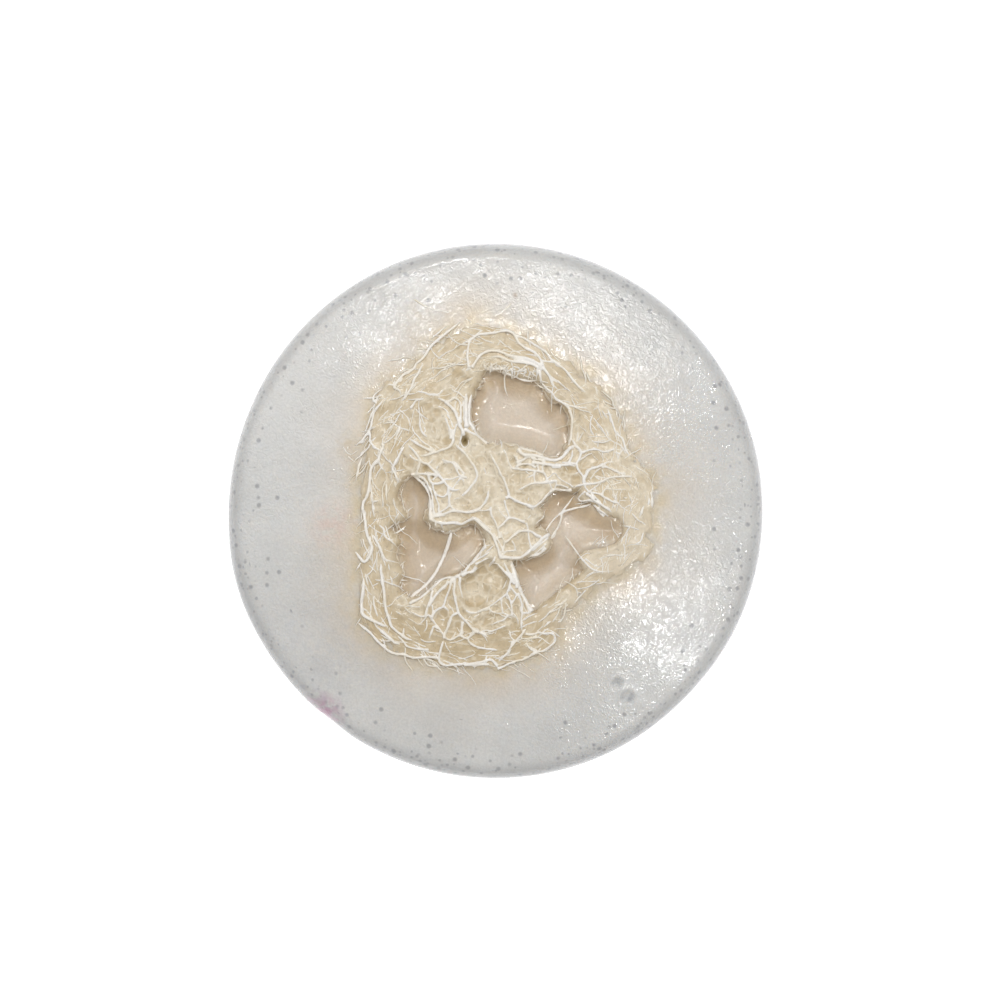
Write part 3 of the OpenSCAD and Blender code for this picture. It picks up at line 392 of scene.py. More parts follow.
        (10.6, 0.1), (11.6, 0.4), (13.2, 0.7), (14.2, 1.2)]),
    (0.55, 1.3, [(-6.4, -2.6), (-6.7, -4), (-7.3, -5.9), (-8, -7.5), (-9.2, -9.7), (-10.6, -11.2),
        (-12.6, -12.8)]),
], right=[
    (0.38, 0.0, [(11.7, 9.6), (12.3, 9.1), (12.6, 8.6), (12.4, 8), (12.2, 7.5), (11.9, 7), (12, 6.4),
        (12.4, 5.7), (12.9, 5), (13, 4.2)]),
    (0.3, 0.05, [(10.9, 11), (11.3, 10.4), (11.6, 9.9), (11.8, 9.6)]),
    (0.34, 0.0, [(11.3, 9.3), (11.3, 8.6), (11.2, 8), (10.9, 7.4), (10.7, 6.9)]),
    (0.34, 0.0, [(9.4, 7.2), (10.2, 7.1), (11, 7), (11.8, 6.9)]),
    (0.32, 0.0, [(12.8, 8.6), (13.3, 8.8), (14, 9), (14.9, 9), (15.5, 8.8), (16, 8.7), (16.8, 8.9),
        (17.4, 9.1)]),
    (0.22, 0.05, [(16, 8.7), (16, 8.1)]),
    (0.42, 0.0, [(13, 4.8), (13.3, 5.3), (13.6, 5.9), (14.3, 6.3), (15, 6.5), (15.9, 6.9)]),
    (0.26, 0.05, [(15.9, 6.9), (16.6, 7.2), (17.4, 7.2), (18, 7.1)]),
    (0.34, 0.0, [(11.2, 3.3), (12, 3.7), (12.8, 3.9), (13.8, 4), (14.8, 4.1), (15.7, 4.4), (16.5, 4.8),
        (17.4, 5), (18.5, 5.1), (19.5, 5.1), (20.5, 5)]),
    (0.32, 0.0, [(15.6, 6.4), (16.2, 6.5), (16.9, 6.2), (17.6, 5.9), (18.3, 5.6), (19, 5.5)]),
    (0.28, 0.0, [(13.2, 2.9), (12.7, 2.5), (12.2, 1.9), (12.4, 1.5), (13.1, 1.5), (13.9, 1.6),
        (14.4, 1.4)]),
    (0.28, 0.0, [(13, 4.2), (13.2, 3.4), (13.9, 2.8), (14.6, 2.7), (15.2, 2.5), (15.6, 2.4)]),
    (0.28, 0.0, [(15.6, 2.4), (15.9, 3), (16.4, 3.5), (16.6, 3.9)]),
    (0.32, 0.0, [(15.5, 2.4), (16, 2), (16.6, 1.7), (17.4, 1.3), (18.3, 1.1)]),
    (0.26, 0.05, [(16.3, 3.3), (17.4, 3.2), (18.5, 3.2), (19.6, 3.2)]),
    (0.4, -0.1, [(13.3, 2.6), (14, 2.1), (14.6, 1.5), (15.3, 1.1), (15.9, 0.7), (16.5, 0.3),
        (17.1, -0.2)]),
    (0.28, -0.05, [(14.2, 2.4), (14.9, 1.8), (15.4, 1.2)]),
    (0.4, 0.0, [(14.4, 0.9), (15.1, 0.3), (15.6, -0.1), (16.1, -0.4), (16.5, -0.8)]),
    (0.28, 0.0, [(14.9, 0.2), (15.5, -0.4), (16, -0.8)]),
    (0.22, 0.1, [(17, 3.8), (18, 4.1), (19, 4.4)]),
    (0.22, 0.1, [(20, 4.4), (21, 4.2), (21.8, 3.8)]),
    (0.24, 0.1, [(17.6, 8.7), (18.3, 8.4), (19, 8.2)]),
    (0.2, 0.1, [(18.2, 2), (19.2, 2), (20.1, 2.2)]),
    (0.2, 0.1, [(14, 5.6), (14.6, 5.1), (15.3, 4.6)]),
    (0.2, 0.1, [(11.2, 5.4), (12.1, 5.6)]),
    (0.18, 0.05, [(14.4, 9.8), (15.2, 10.2), (16.1, 10.4), (16.9, 10.3)]),
], front=[
    (0.45, 0.0, [(-12.6, -13.6), (-12, -13.2), (-11.1, -12.8), (-10.2, -12.1), (-9.4, -11.4),
        (-8.6, -10.7), (-7.9, -10.1), (-7.1, -9.8), (-6.2, -9.8), (-5.4, -9.5), (-4.8, -9), (-4.3, -8.6),
        (-3.9, -8), (-3.2, -7.3), (-2.6, -6.6), (-2, -5.8), (-1.4, -5.2)]),
    (0.5, 0.0, [(-5, -9.4), (-4.2, -9), (-3.4, -8.9), (-2.8, -8.2)]),
    (0.3, 0.0, [(-3.6, -7.8), (-2.8, -7.2), (-2, -6.7), (-1.2, -6.2), (-0.6, -5.9)]),
    (0.26, 0.0, [(-2.9, -7.8), (-2, -7.3), (-1.3, -7), (-0.7, -6.6)]),
    (0.3, 0.0, [(-1.7, -3.9), (-1.6, -4.7), (-1.4, -5.1), (-0.6, -4.9)]),
    (0.4, 0.0, [(-1, -8.2), (-0.6, -7.7), (-0.2, -7.1), (0, -6.4)]),
    (0.42, 0.0, [(-9.9, -13.9), (-9.3, -13.2), (-8.9, -12.5), (-8.3, -11.8), (-7.7, -11.2), (-7.2, -10.8),
        (-6.9, -10.2)]),
    (0.36, 0.0, [(-10.2, -15.4), (-10.1, -14.6), (-9.9, -13.9), (-9.6, -13.1), (-9.4, -12.3),
        (-9.2, -11.6)]),
    (0.36, 0.0, [(-9.4, -15.6), (-9, -14.9), (-8.4, -14.4), (-7.8, -14.1), (-7.5, -13.6), (-7.3, -12.8),
        (-7, -12.1), (-6.7, -11.3), (-6.5, -10.5), (-6.4, -9.9)]),
    (0.28, 0.0, [(-7.5, -14.1), (-7, -14.5), (-6.7, -15)]),
    (0.22, 0.05, [(-9.4, -15.6), (-9.2, -14.6), (-9.3, -13.8)]),
    (0.32, 0.0, [(-9.9, -15.2), (-9.4, -15.7), (-8.9, -16.5), (-8.3, -17.2), (-7.8, -17.9), (-7.4, -18.5),
        (-6.9, -18.9), (-6.2, -18.8), (-5.7, -18.5), (-5.1, -18.1)]),
    (0.38, 0.0, [(-5.7, -15), (-6.4, -15.4), (-6.6, -16), (-6.9, -16.8), (-7.2, -17.5), (-7.5, -18.1),
        (-7.5, -18.7)]),
    (0.38, 0.0, [(-6, -9.9), (-6, -11), (-6.1, -12), (-5.9, -12.9), (-5.7, -13.8), (-5.5, -14.6),
        (-5.2, -15.3), (-4.7, -15.8), (-4.2, -16.3), (-3.7, -16.9), (-3.2, -17.4), (-2.6, -17.7),
        (-2, -18), (-1.4, -18.3), (-1, -18.7)]),
    (0.5, 0.0, [(-3.4, -17.2), (-3, -17.5), (-2.5, -17.7)]),
    (0.36, 0.0, [(-3.1, -17.6), (-3.5, -18.2), (-4, -18.7), (-3.9, -19.2), (-3.3, -19.7), (-2.5, -20),
        (-1.6, -20.2), (-0.6, -20.3), (0.5, -20.5)]),
    (0.32, 0.05, [(-4, -18.7), (-4.6, -18.6), (-5.1, -18.2)]),
    (0.42, 0.25, [(-5, -18), (-4.9, -17), (-4.8, -16.2)]),
    (0.28, 0.0, [(-3, -17.6), (-2.2, -17.8), (-1.4, -17.5), (-0.5, -17.6), (0.3, -17.3), (1.2, -16.9),
        (2, -16.8)]),
    (0.22, 0.05, [(-2, -17.8), (-1.2, -17.9), (-0.4, -17.6)]),
    (0.36, 0.0, [(-5.2, -9.7), (-5.2, -11), (-5, -12), (-4.8, -12.9)]),
    (0.34, 0.2, [(-4.7, -13.8), (-4.3, -14.6), (-3.6, -14.9), (-2.8, -14.9), (-2, -14.6), (-1.2, -14.4)]),
    (0.28, 0.0, [(1.8, -12), (1.2, -12.5), (0.4, -13.1), (-0.4, -13.7), (-1, -14.1), (-1.7, -14.4),
        (-2.6, -14.8)]),
    (0.26, 0.05, [(-1, -14.2), (-0.5, -14.8), (0.3, -15), (1.2, -15), (2, -15.3), (2.7, -15.5),
        (3.2, -16.1)]),
    (0.24, 0.1, [(-3.5, -16.3), (-3.1, -15.6), (-2.5, -15.2), (-1.8, -15)]),
    (0.28, 0.0, [(-0.9, -17), (-0.3, -16.5), (0.5, -16.2), (1.2, -16), (1.7, -15.4)]),
    (0.28, 0.35, [(-1, -11), (-0.4, -11.3), (-0.2, -12), (-0.3, -12.8), (-0.9, -13.5)]),
    (0.36, 0.0, [(-8.4, -17.2), (-9.1, -16.9), (-9.3, -17.6), (-9.6, -18.3), (-9.8, -18.9)]),
    (0.24, 0.0, [(-12, -16.3), (-11.2, -16.6), (-10.5, -16), (-10.1, -15.4)]),
    (0.28, 0.0, [(-12.8, -14.5), (-11.8, -15.1), (-10.8, -15.5), (-10.2, -15.3)]),
    (0.24, 0.0, [(-10.1, -16), (-10.1, -17), (-10.4, -17.6), (-10.9, -18)]),
    (0.24, 0.1, [(-12.4, -14), (-11.4, -14.1), (-10.4, -13.9)]),
    (0.65, 0.0, [(2.3, -7.4), (2.6, -8.6), (3, -9.8), (3.4, -11), (3.8, -12), (4.3, -13), (4.8, -14),
        (5.3, -14.8)]),
    (0.36, 0.0, [(1.2, -7.3), (1.5, -8.1), (2, -9), (2.4, -9.7), (2.9, -10.5), (3.2, -11.3)]),
    (0.36, 0.0, [(0.1, -7.5), (0.6, -8.1), (1.2, -8.7), (1.8, -9.4), (2.4, -10.1), (2.8, -10.7)]),
    (0.32, 0.0, [(2.4, -9.8), (2.1, -10.8), (1.9, -11.5), (1.7, -12), (2.1, -12.9), (2.3, -13.6),
        (2.4, -14.5), (2.4, -15.3)]),
    (0.24, -0.05, [(2.1, -10.9), (2.6, -11.6), (3, -12.1)]),
    (0.28, 0.0, [(3.2, -12.2), (2.8, -12.9), (2.4, -13.5)]),
    (0.32, 0.0, [(3.3, -12), (3.7, -13.1), (3.9, -14), (3.9, -15), (3.8, -16), (3.8, -17), (3.9, -17.9)]),
    (0.26, 0.1, [(3.9, -15), (4.5, -14.9), (5.2, -14.9)]),
    (0.26, 0.1, [(0.9, -12.8), (0.9, -13.6), (1, -14.5), (1.1, -15)]),
], loose=[
    (0.25, 0.0, [(-12.6, 31.6), (-11.9, 31.2), (-9.8, 30), (-8, 29.6), (-6.2, 29.1)]),
    (0.3, 0.0, [(2.8, 31.2), (1.3, 29.7), (-0.8, 28.3)]),
    (0.22, 0.0, [(20.6, 26.6), (21.6, 25.9)]),
    (0.25, 0.0, [(25.2, 8.6), (25.9, 9.6)]),
    (0.2, 0.0, [(-18.4, 27.6), (-17.6, 28.1)]),
])


def smoothLine(points, closed=False, perSpan=6):
    pts = [Vector(p) for p in points]
    n = len(pts)
    line = []
    for i in range(n if closed else n - 1):
        a = pts[i - 1] if closed or i > 0 else pts[i]
        b, c = pts[i], pts[(i + 1) % n]
        d = pts[(i + 2) % n] if closed or i + 2 < n else c
        for k in range(perSpan):
            t = k / perSpan
            line.append((2 * b + (c - a) * t + (2 * a - 5 * b + 4 * c - d) * t * t
                         + (3 * b - a - 3 * c + d) * t ** 3) / 2)
    return line if closed else line + [pts[-1]]


def evenLine(line, step):   # the same line with its points a step apart
    length = sum((q - p).length for p, q in zip(line, line[1:]))
    count = max(2, round(length / step))
    even, walked, want = [line[0].copy()], 0.0, length / count
    for p, q in zip(line, line[1:]):
        span = (q - p).length
        while span > 0 and walked + span >= want * len(even) and len(even) < count:
            even.append(p.lerp(q, (want * len(even) - walked) / span))
        walked += span
    return even + [line[-1].copy()]


def shaken(p, size, depth, seeds):   # moved sideways by smooth noise
    return p + Vector([noise.noise((p.x / size, p.y / size, seed)) for seed in seeds]) * depth


def loopDistance(x, y, loop):   # negative inside
    best = np.full(x.shape, 1e9)
    inside = np.zeros(x.shape, bool)
    for a, b in zip(loop, loop[1:] + loop[:1]):
        dx, dy = b.x - a.x, b.y - a.y
        t = np.clip(((x - a.x) * dx + (y - a.y) * dy) / (dx * dx + dy * dy), 0, 1)
        best = np.minimum(best, (x - a.x - t * dx) ** 2 + (y - a.y - t * dy) ** 2)
        if dy:
            inside ^= ((a.y > y) != (b.y > y)) & (x < a.x + (y - a.y) * dx / dy)
    return np.sqrt(best) * np.where(inside, -1, 1)


def ease(low, high, v):
    t = np.clip((v - low) / (high - low), 0, 1)
    return t * t * (3 - 2 * t)


def fade(v, reach):   # 1 at nothing and below, then down to 0
    return np.exp(-np.maximum(v, 0) / reach)


def mound(x, y, cx, cy, spread, squash=1.0):   # 1 at the centre; the spread is the radius squared
    return np.exp(-((x - cx) ** 2 + ((y - cy) * squash) ** 2) / spread)


def lumps(x, y, size, seed=0):   # smooth noise between about -1 and 1, with lumps of this size
    return np.array([noise.noise((px / size, py / size, seed * 7.3)) for px, py in zip(x, y)]) * 1.6


def layered(x, y, layers, start=0):   # layers: height, size and seed of the lumps
    return sum((height * lumps(x, y, size, seed) for height, size, seed in layers), start)


def domeHeight(x, y):
    r2 = np.minimum(x * x + y * y, puck["radius"] ** 2)
    return puck["top"] - domeRadius + np.sqrt(domeRadius ** 2 - r2)


def outOfRound(x, y):
    bearing = np.degrees(np.arctan2(y, x)) % 360
    return sum(h * np.exp(-((bearing - c) / w) ** 2) for c, w, h in puck["dents"])


# distances are worked out once on a grid, and read from it between its points
field = dict(reach=42.0, step=0.2, slack=0.01, lastCell=1.001)
fieldLine = np.arange(-field["reach"], field["reach"] + field["slack"], field["step"])
fieldX, fieldY = np.meshgrid(fieldLine, fieldLine)


def fieldOf(loop):
    return loopDistance(fieldX, fieldY, loop)


def sampled(grid, x, y):
    u, v = [np.clip((np.asarray(c) + field["reach"]) / field["step"], 0, size - field["lastCell"])
            for c, size in ((x, grid.shape[1]), (y, grid.shape[0]))]
    i, j = u.astype(int), v.astype(int)
    fu, fv = u - i, v - j
    return ((grid[j, i] * (1 - fu) + grid[j, i + 1] * fu) * (1 - fv)
            + (grid[j + 1, i] * (1 - fu) + grid[j + 1, i + 1] * fu) * fv)


chambers = {name: [shaken(p, **luffa["tear"]) for p in smoothLine(points, closed=True, perSpan=9)]
            for name, points in luffa["chambers"].items()}
outlineField, cellField, coreField = [fieldOf(smoothLine(luffa[key], closed=True))
                                      for key in ("outline", "cell", "core")]
chamberField = np.min([fieldOf(loop) for loop in chambers.values()], axis=0)


def freshObject(adder, name, **options):
    bpy.ops.object.select_all(action="DESELECT")
    adder(**options)
    piece = bpy.context.object
    piece.name = name
    piece.data.name = name
    bpy.ops.object.transform_apply(location=True, rotation=True, scale=True)
    return piece


def getPoints(piece):
    co = np.empty(len(piece.data.vertices) * 3)
    piece.data.vertices.foreach_get("co", co)
    return co.reshape(-1, 3) / mm


def setPoints(piece, co):
    piece.data.vertices.foreach_set("co", (co * mm).ravel())
    piece.data.update()


def setAttributes(piece, **attributes):
    for name, values in attributes.items():
        layer = piece.data.attributes.new(name, "FLOAT", "POINT")
        layer.data.foreach_set("value", np.asarray(values, dtype=np.float32))


def activate(piece):
    bpy.ops.object.select_all(action="DESELECT")
    piece.select_set(True)
    bpy.context.view_layer.objects.active = piece


def applyModifier(piece, kind, **settings):
    activate(piece)
    mod = piece.modifiers.new(kind.title(), kind)
    for key, value in settings.items():
        setattr(mod, key, value)
    bpy.ops.object.modifier_apply(modifier=mod.name)


def startEditing(piece, openEdges=True):   # with the open edges selected, or with all of them
    activate(piece)
    bpy.ops.object.mode_set(mode="EDIT")
    bpy.ops.mesh.select_mode(type="EDGE")
    bpy.ops.mesh.select_all(action="DESELECT" if openEdges else "SELECT")
    if openEdges:
        bpy.ops.mesh.select_non_manifold()


def extrudeTo(piece, place):   # place gets the new vertices and moves them
    bpy.ops.mesh.extrude_edges_move()
    bm = bmesh.from_edit_mesh(piece.data)
    place([vert for vert in bm.verts if vert.select])
    bmesh.update_edit_mesh(piece.data)


def stopEditing():   # with all faces pointing outwards
    bpy.ops.mesh.select_all(action="SELECT")
    bpy.ops.mesh.normals_make_consistent(inside=False)
    bpy.ops.object.mode_set(mode="OBJECT")


def finishPiece(piece, material, slotName, *nodes, angle=None):
    activate(piece)
    if angle is None:
        bpy.ops.object.shade_smooth()
    else:
        bpy.ops.object.shade_smooth_by_angle(angle=math.radians(angle))
    piece.data.materials.clear()
    piece.data.materials.append(material)
    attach(piece, "root")
    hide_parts(*nodes)


def newMaterial(name, **sockets):
    mat = bpy.data.materials.new(name)
    mat.use_nodes = True
    shader = mat.node_tree.nodes["Principled BSDF"]
    for key, value in sockets.items():
        shader.inputs[key.replace("_", " ")].default_value = value
    return mat, mat.node_tree, shader


def addNode(tree, kind, inputs, **settings):
    node = tree.nodes.new("ShaderNode" + kind)
    for key, value in settings.items():
        setattr(node, key, value)
    for key, value in inputs.items():
        if isinstance(value, bpy.types.NodeSocket):
            tree.links.new(value, node.inputs[key])
        else:
            node.inputs[key].default_value = value
    return node


def objectCoords(tree):
    return addNode(tree, "TexCoord", {}).outputs["Object"]


def noiseNode(tree, coords, size, detail=3.0, rough=0.5, distortion=0.0):   # size in millimetres
    return addNode(tree, "TexNoise", {"Vector": coords, "Scale": 1 / (size * mm), "Detail": detail,
                                      "Roughness": rough, "Distortion": distortion}).outputs["Fac"]


def mapped(tree, value, low, high, toLow=0.0, toHigh=1.0):
    return addNode(tree, "MapRange", {"Value": value, "From Min": low, "From Max": high,
                                      "To Min": toLow, "To Max": toHigh}).outputs["Result"]


def mottle(tree, coords, size, detail, low, high):   # uneven brightness
    return mapped(tree, noiseNode(tree, coords, size, detail), 0.3, 0.7, low, high)


def mixedColour(tree, factor, a, b):
    node = addNode(tree, "Mix", {}, data_type="RGBA")
    for socket, value in ((node.inputs[0], factor), (node.inputs[6], a), (node.inputs[7], b)):
        if isinstance(value, bpy.types.NodeSocket):
            tree.links.new(value, socket)
        else:
            socket.default_value = value if isinstance(value, float) else (*value, 1)
    return node.outputs[2]


def mathNode(tree, operation, a, b):
    return addNode(tree, "Math", {0: a, 1: b}, operation=operation).outputs[0]


def vectorNode(tree, operation, inputs):
    return addNode(tree, "VectorMath", inputs, operation=operation)


def scaled(tree, vector, factor):
    return vectorNode(tree, "SCALE", {0: vector, 3: factor}).outputs[0]


def attributeNode(tree, name):
    return addNode(tree, "Attribute", {}, attribute_name=name).outputs["Fac"]


def bumpInto(tree, shader, layers):   # layers: height socket, strength, distance in millimetres
    normal = None
    for height, strength, depth in layers:
        inputs = {"Height": height, "Strength": strength, "Distance": depth * mm}
        if normal:
            inputs["Normal"] = normal
        normal = addNode(tree, "Bump", inputs).outputs["Normal"]
    tree.links.new(normal, shader.inputs["Normal"])
    tree.links.new(normal, shader.inputs["Coat Normal"])


# painted shade in the small craters
craterShade = (0.44, 0.45, 0.46)
soapLook = dict(
    surface=dict(Roughness=0.5, Subsurface_Weight=0.6, Subsurface_Scale=0.003,
                 Subsurface_Radius=(1.0, 0.85, 0.7), Coat_Weight=1.0, Coat_Roughness=0.07, IOR=1.44),
    outer=(0.70, 0.70, 0.685),
    cream=(0.76, 0.675, 0.575),
    soaked=(0.72, 0.61, 0.44),
    well=(0.765, 0.665, 0.55),
    # painted shade in the chambers, under their edges
    brown=(0.56, 0.42, 0.26),
    # painted shade along the rounded rim
    rim=(0.40, 0.405, 0.41),
    bubble=(0.27, 0.27, 0.29),
    bubbles=[(0.9, 3.0, 0.5), (1.2, 5.5, 0.5), (1.7, 9.0, 0.6)],   # spacing, reach from the rim, darkness
    bubbleSize=(0.13, 0.27),   # core and edge of a bubble, in spacings
    sideBubbles=(15.5, 0.12),  # down at this height, this share of them is left
    rimShade=(3.2, 0.1, 1.6),   # painted shade, darker towards the rim: from, to, steepness
    swell=(3.5, 0.5, 0.08),    # size, strength and depth of the broad unevenness
    wrinkle=(0.8, 1.0, 0.1),   # and of the wrinkles that break up the glints
    # patches stained into the soap, and painted shade: where, how far, how strong, colour
    stainsAndShade=[((-25.6, -29.8, 18.0), 4.0, 0.9, (0.50, 0.25, 0.38)),
            ((3.1, 32.1, 20.6), 0.8, 0.8, (0.42, 0.31, 0.2)),
            ((-17.0, 31.8, 20.0), 2.6, 0.35, (0.36, 0.35, 0.30)),
            ((-21.5, 10.0, 22.4), 2.6, 0.6, (0.68, 0.57, 0.40)),
            ((-12.0, 28.5, 21.0), 3.0, 0.35, (0.66, 0.56, 0.40)),
            ((-24.0, -2.0, 22.0), 4.5, 0.55, (0.78, 0.60, 0.53)),
            # darker in the small crater at the rim
            ((-28.6, -26.2, 19.0), 0.9, 0.5, (0.35, 0.34, 0.36)),
            # painted shade: darker over the lower left side
            ((-26.0, -22.0, 18.0), 15.0, 0.3, (0.60, 0.60, 0.61)),
            # painted shade in the two craters on the right
            ((18.0, -25.5, 20.0), 1.5, 1.0, craterShade),
            ((19.6, -27.6, 20.0), 1.6, 1.0, craterShade)],
)


def soapMaterial():
    mat, tree, shader = newMaterial("milkySoap", **soapLook["surface"])
    coords = objectCoords(tree)
    radial = vectorNode(tree, "LENGTH", {
        0: vectorNode(tree, "MULTIPLY", {0: coords, 1: (1, 1, 0)}).outputs[0]}).outputs["Value"]

    def towardsRim(start, end):
        return mapped(tree, radial, (puck["radius"] - start) * mm, (puck["radius"] - end) * mm)

    colour = soapLook["outer"]
    # the last mask is painted shade in the chambers
    for mask, tint in (("warm", "cream"), ("soaked", "soaked"), ("well", "well"), ("brown", "brown")):
        colour = mixedColour(tree, attributeNode(tree, mask), colour, soapLook[tint])
    # painted shade: the soap darkens towards the rim
    start, end, steepness = soapLook["rimShade"]
    edge = mathNode(tree, "POWER", towardsRim(start, end), steepness)
    colour = mixedColour(tree, edge, colour, soapLook["rim"])
    # bubbles caught just under the skin, thickest towards the rim and few down the side
    tall = addNode(tree, "SeparateXYZ", {0: coords}).outputs["Z"]
    thinAt, thinShare = soapLook["sideBubbles"]
    crowd = mapped(tree, tall, thinAt * mm, (puck["top"] - rimDrop) * mm, thinShare, 1.0)
    for size, reach, darkness in soapLook["bubbles"]:
        cells = addNode(tree, "TexVoronoi", {"Vector": coords, "Scale": 1 / (size * mm)})
        rarity = addNode(tree, "SeparateColor", {"Color": cells.outputs["Color"]}).outputs[0]
        shown = mathNode(tree, "LESS_THAN", rarity, mathNode(tree, "MULTIPLY", towardsRim(reach, 0), crowd))
        spot = mapped(tree, cells.outputs["Distance"], *soapLook["bubbleSize"], 1.0, 0.0)
        mask = mathNode(tree, "MULTIPLY", spot, shown)
        colour = mixedColour(tree, mathNode(tree, "MULTIPLY", mask, darkness), colour, soapLook["bubble"])
    blotchy = mapped(tree, noiseNode(tree, coords, 1.3, 3), 0.38, 0.6)
    # stained patches, with painted shade over the lower left side and in the craters
    for spot, reach, strength, tint in soapLook["stainsAndShade"]:
        away = vectorNode(tree, "DISTANCE", {0: coords, 1: tuple(v * mm for v in spot)}).outputs["Value"]
        stain = mapped(tree, away, 0.2 * reach * mm, reach * mm, strength, 0.0)
        colour = mixedColour(tree, mathNode(tree, "MULTIPLY", stain, blotchy), colour, tint)
    colour = scaled(tree, colour, mottle(tree, coords, 9, 4, 0.94, 1.04))
    colour = scaled(tree, colour, mottle(tree, coords, 0.35, 2, 0.945, 1.055))
    tree.links.new(colour, shader.inputs["Base Color"])
    patches = mapped(tree, noiseNode(tree, coords, 5, 3), 0.38, 0.6, 0.45, 1.0)
    size, *wrinkleBump = soapLook["wrinkle"]
    wrinkles = mathNode(tree, "MULTIPLY", noiseNode(tree, coords, size, 1.5, 0.5, 1.5), patches)
    size, *swellBump = soapLook["swell"]
    bumpInto(tree, shader, [(noiseNode(tree, coords, size, 1), *swellBump), (wrinkles, *wrinkleBump)])
    return mat


tissueLook = dict(
    surface=dict(Roughness=0.4, Coat_Weight=0.5, Coat_Roughness=0.12, IOR=1.42),
    stainTint=(0.97, 0.91, 0.78),   # times the dark colour
    # painted shade in the small holes
    hollow=(0.42, 0.33, 0.17),
    speck=(0.36, 0.29, 0.2),
    webSize=1.5,             # width of a mesh of the web
    webBend=(1.4, 0.8),      # size and depth of its waviness
    veins=0.45,              # how much paler the threads are
    lumps=(0.9, 0.5, 0.1),   # size, strength and depth of the bumps
    veinBump=(0.5, 0.1),     # strength and depth
    grain=(0.28, 0.5, 0.03),
)


def tissueMaterial(name, dark, light, soapy):
    mat, tree, shader = newMaterial(name, **tissueLook["surface"])
    coords = objectCoords(tree)
    colour = mixedColour(tree, attributeNode(tree, "pale"), dark, light)
    stain = mapped(tree, noiseNode(tree, coords, 3.2, 4), 0.45, 0.75, 0.0, 0.5)
    colour = mixedColour(tree, stain, colour, tuple(c * k for c, k in zip(dark, tissueLook["stainTint"])))
    # threads of the tissue itself: along the wall, and in a web elsewhere
    wall = attributeNode(tree, "wall")
    along = addNode(tree, "CombineXYZ", {0: mathNode(tree, "MULTIPLY", attributeNode(tree, "around"), 0.45),
                                         1: mathNode(tree, "MULTIPLY", attributeNode(tree, "depth"), 2.2)})
    threads = addNode(tree, "TexNoise", {"Vector": along.outputs[0], "Scale": 1.0, "Detail": 4.0,
                                         "Distortion": 0.6}).outputs["Fac"]
    threads = mathNode(tree, "MULTIPLY", mapped(tree, threads, 0.52, 0.66), wall)
    bendSize, bendDepth = tissueLook["webBend"]
    bend = addNode(tree, "TexNoise", {"Vector": coords, "Scale": 1 / (bendSize * mm)}).outputs["Color"]
    bent = vectorNode(tree, "ADD", {0: coords, 1: scaled(tree, bend, bendDepth * mm)}).outputs[0]
    web = addNode(tree, "TexVoronoi", {"Vector": bent, "Scale": 1 / (tissueLook["webSize"] * mm)},
                  feature="DISTANCE_TO_EDGE").outputs["Distance"]
    web = mathNode(tree, "MULTIPLY", mapped(tree, web, 0.02, 0.16, 1.0, 0.0),
                   mathNode(tree, "SUBTRACT", 1.0, wall))
    veins = mathNode(tree, "ADD", threads, web)
    colour = mixedColour(tree, mathNode(tree, "MULTIPLY", veins, tissueLook["veins"]), colour, light)
    colour = mixedColour(tree, attributeNode(tree, "soapy"), colour, soapy)
    # painted shade in the small holes, darker where they are deeper
    colour = mixedColour(tree, attributeNode(tree, "hollow"), colour, tissueLook["hollow"])
    colour = scaled(tree, colour, mottle(tree, coords, 0.4, 3, 0.92, 1.06))
    specks = mapped(tree, noiseNode(tree, coords, 0.55, 1), 0.27, 0.33, 0.45, 0.0)
    colour = mixedColour(tree, specks, colour, tissueLook["speck"])
    tree.links.new(colour, shader.inputs["Base Color"])
    lumpSize, *lumpBump = tissueLook["lumps"]
    grainSize, *grainBump = tissueLook["grain"]
    bumpInto(tree, shader, [(noiseNode(tree, coords, lumpSize, 4, 0.6, 1.5), *lumpBump),
                            (veins, *tissueLook["veinBump"]),
                            (noiseNode(tree, coords, grainSize, 2), *grainBump)])
    return mat


def fibreMaterial(name, pale, yellow):
    mat, tree, shader = newMaterial(name, Roughness=0.45, Coat_Weight=0.15, Coat_Roughness=0.25, IOR=1.5)
    coords = objectCoords(tree)
    colour = mixedColour(tree, mapped(tree, noiseNode(tree, coords, 5, 3), 0.42, 0.72), pale, yellow)
    colour = scaled(tree, colour, mottle(tree, coords, 0.25, 2, 0.93, 1.04))
    tree.links.new(colour, shader.inputs["Base Color"])
    bumpInto(tree, shader, [(noiseNode(tree, coords, 0.3, 2), 0.35, 0.06)])
    return mat


milkySoap = soapMaterial()
soakedTissue = tissueMaterial("soakedTissue", dark=(0.61, 0.49, 0.315), light=(0.92, 0.84, 0.69),
                              soapy=(0.73, 0.63, 0.48))
chamberSkin = tissueMaterial("chamberSkin", dark=(0.86, 0.77, 0.61), light=(0.95, 0.88, 0.77),
                             soapy=soapLook["cream"])
dryStrand = fibreMaterial("dryStrand", pale=(0.98, 0.945, 0.885), yellow=(0.94, 0.86, 0.71))
fineFibre = fibreMaterial("fineFibre", pale=(0.98, 0.94, 0.87), yellow=(0.92, 0.84, 0.68))
print("materials made")

# what the camera sees at the height of the focus, in millimetres
view = dict(width=149.6, off=(0.67, 1.62), height=374.0, focus=16.5, sensor=36.0, clip=(0.01, 10))

studio = dict(
    world=0.352,
    floorSize=6,        # metres
    floorGrey=0.93,
    floorGlow=0.8,
    # tilt from straight up, bearing in degrees, distance and size in metres, power in watts
    lights=dict(
        windowLeft=(26, 106, 0.9, (0.24, 0.05), 1.2),
        windowRight=(25, 60, 0.9, (0.32, 0.05), 1.7),
        sideLight=(27, -32, 0.9, (0.2, 0.05), 1.1),
        broadLight=(38, 145, 0.5, (0.3, 0.3), 0.3),
    ),
)


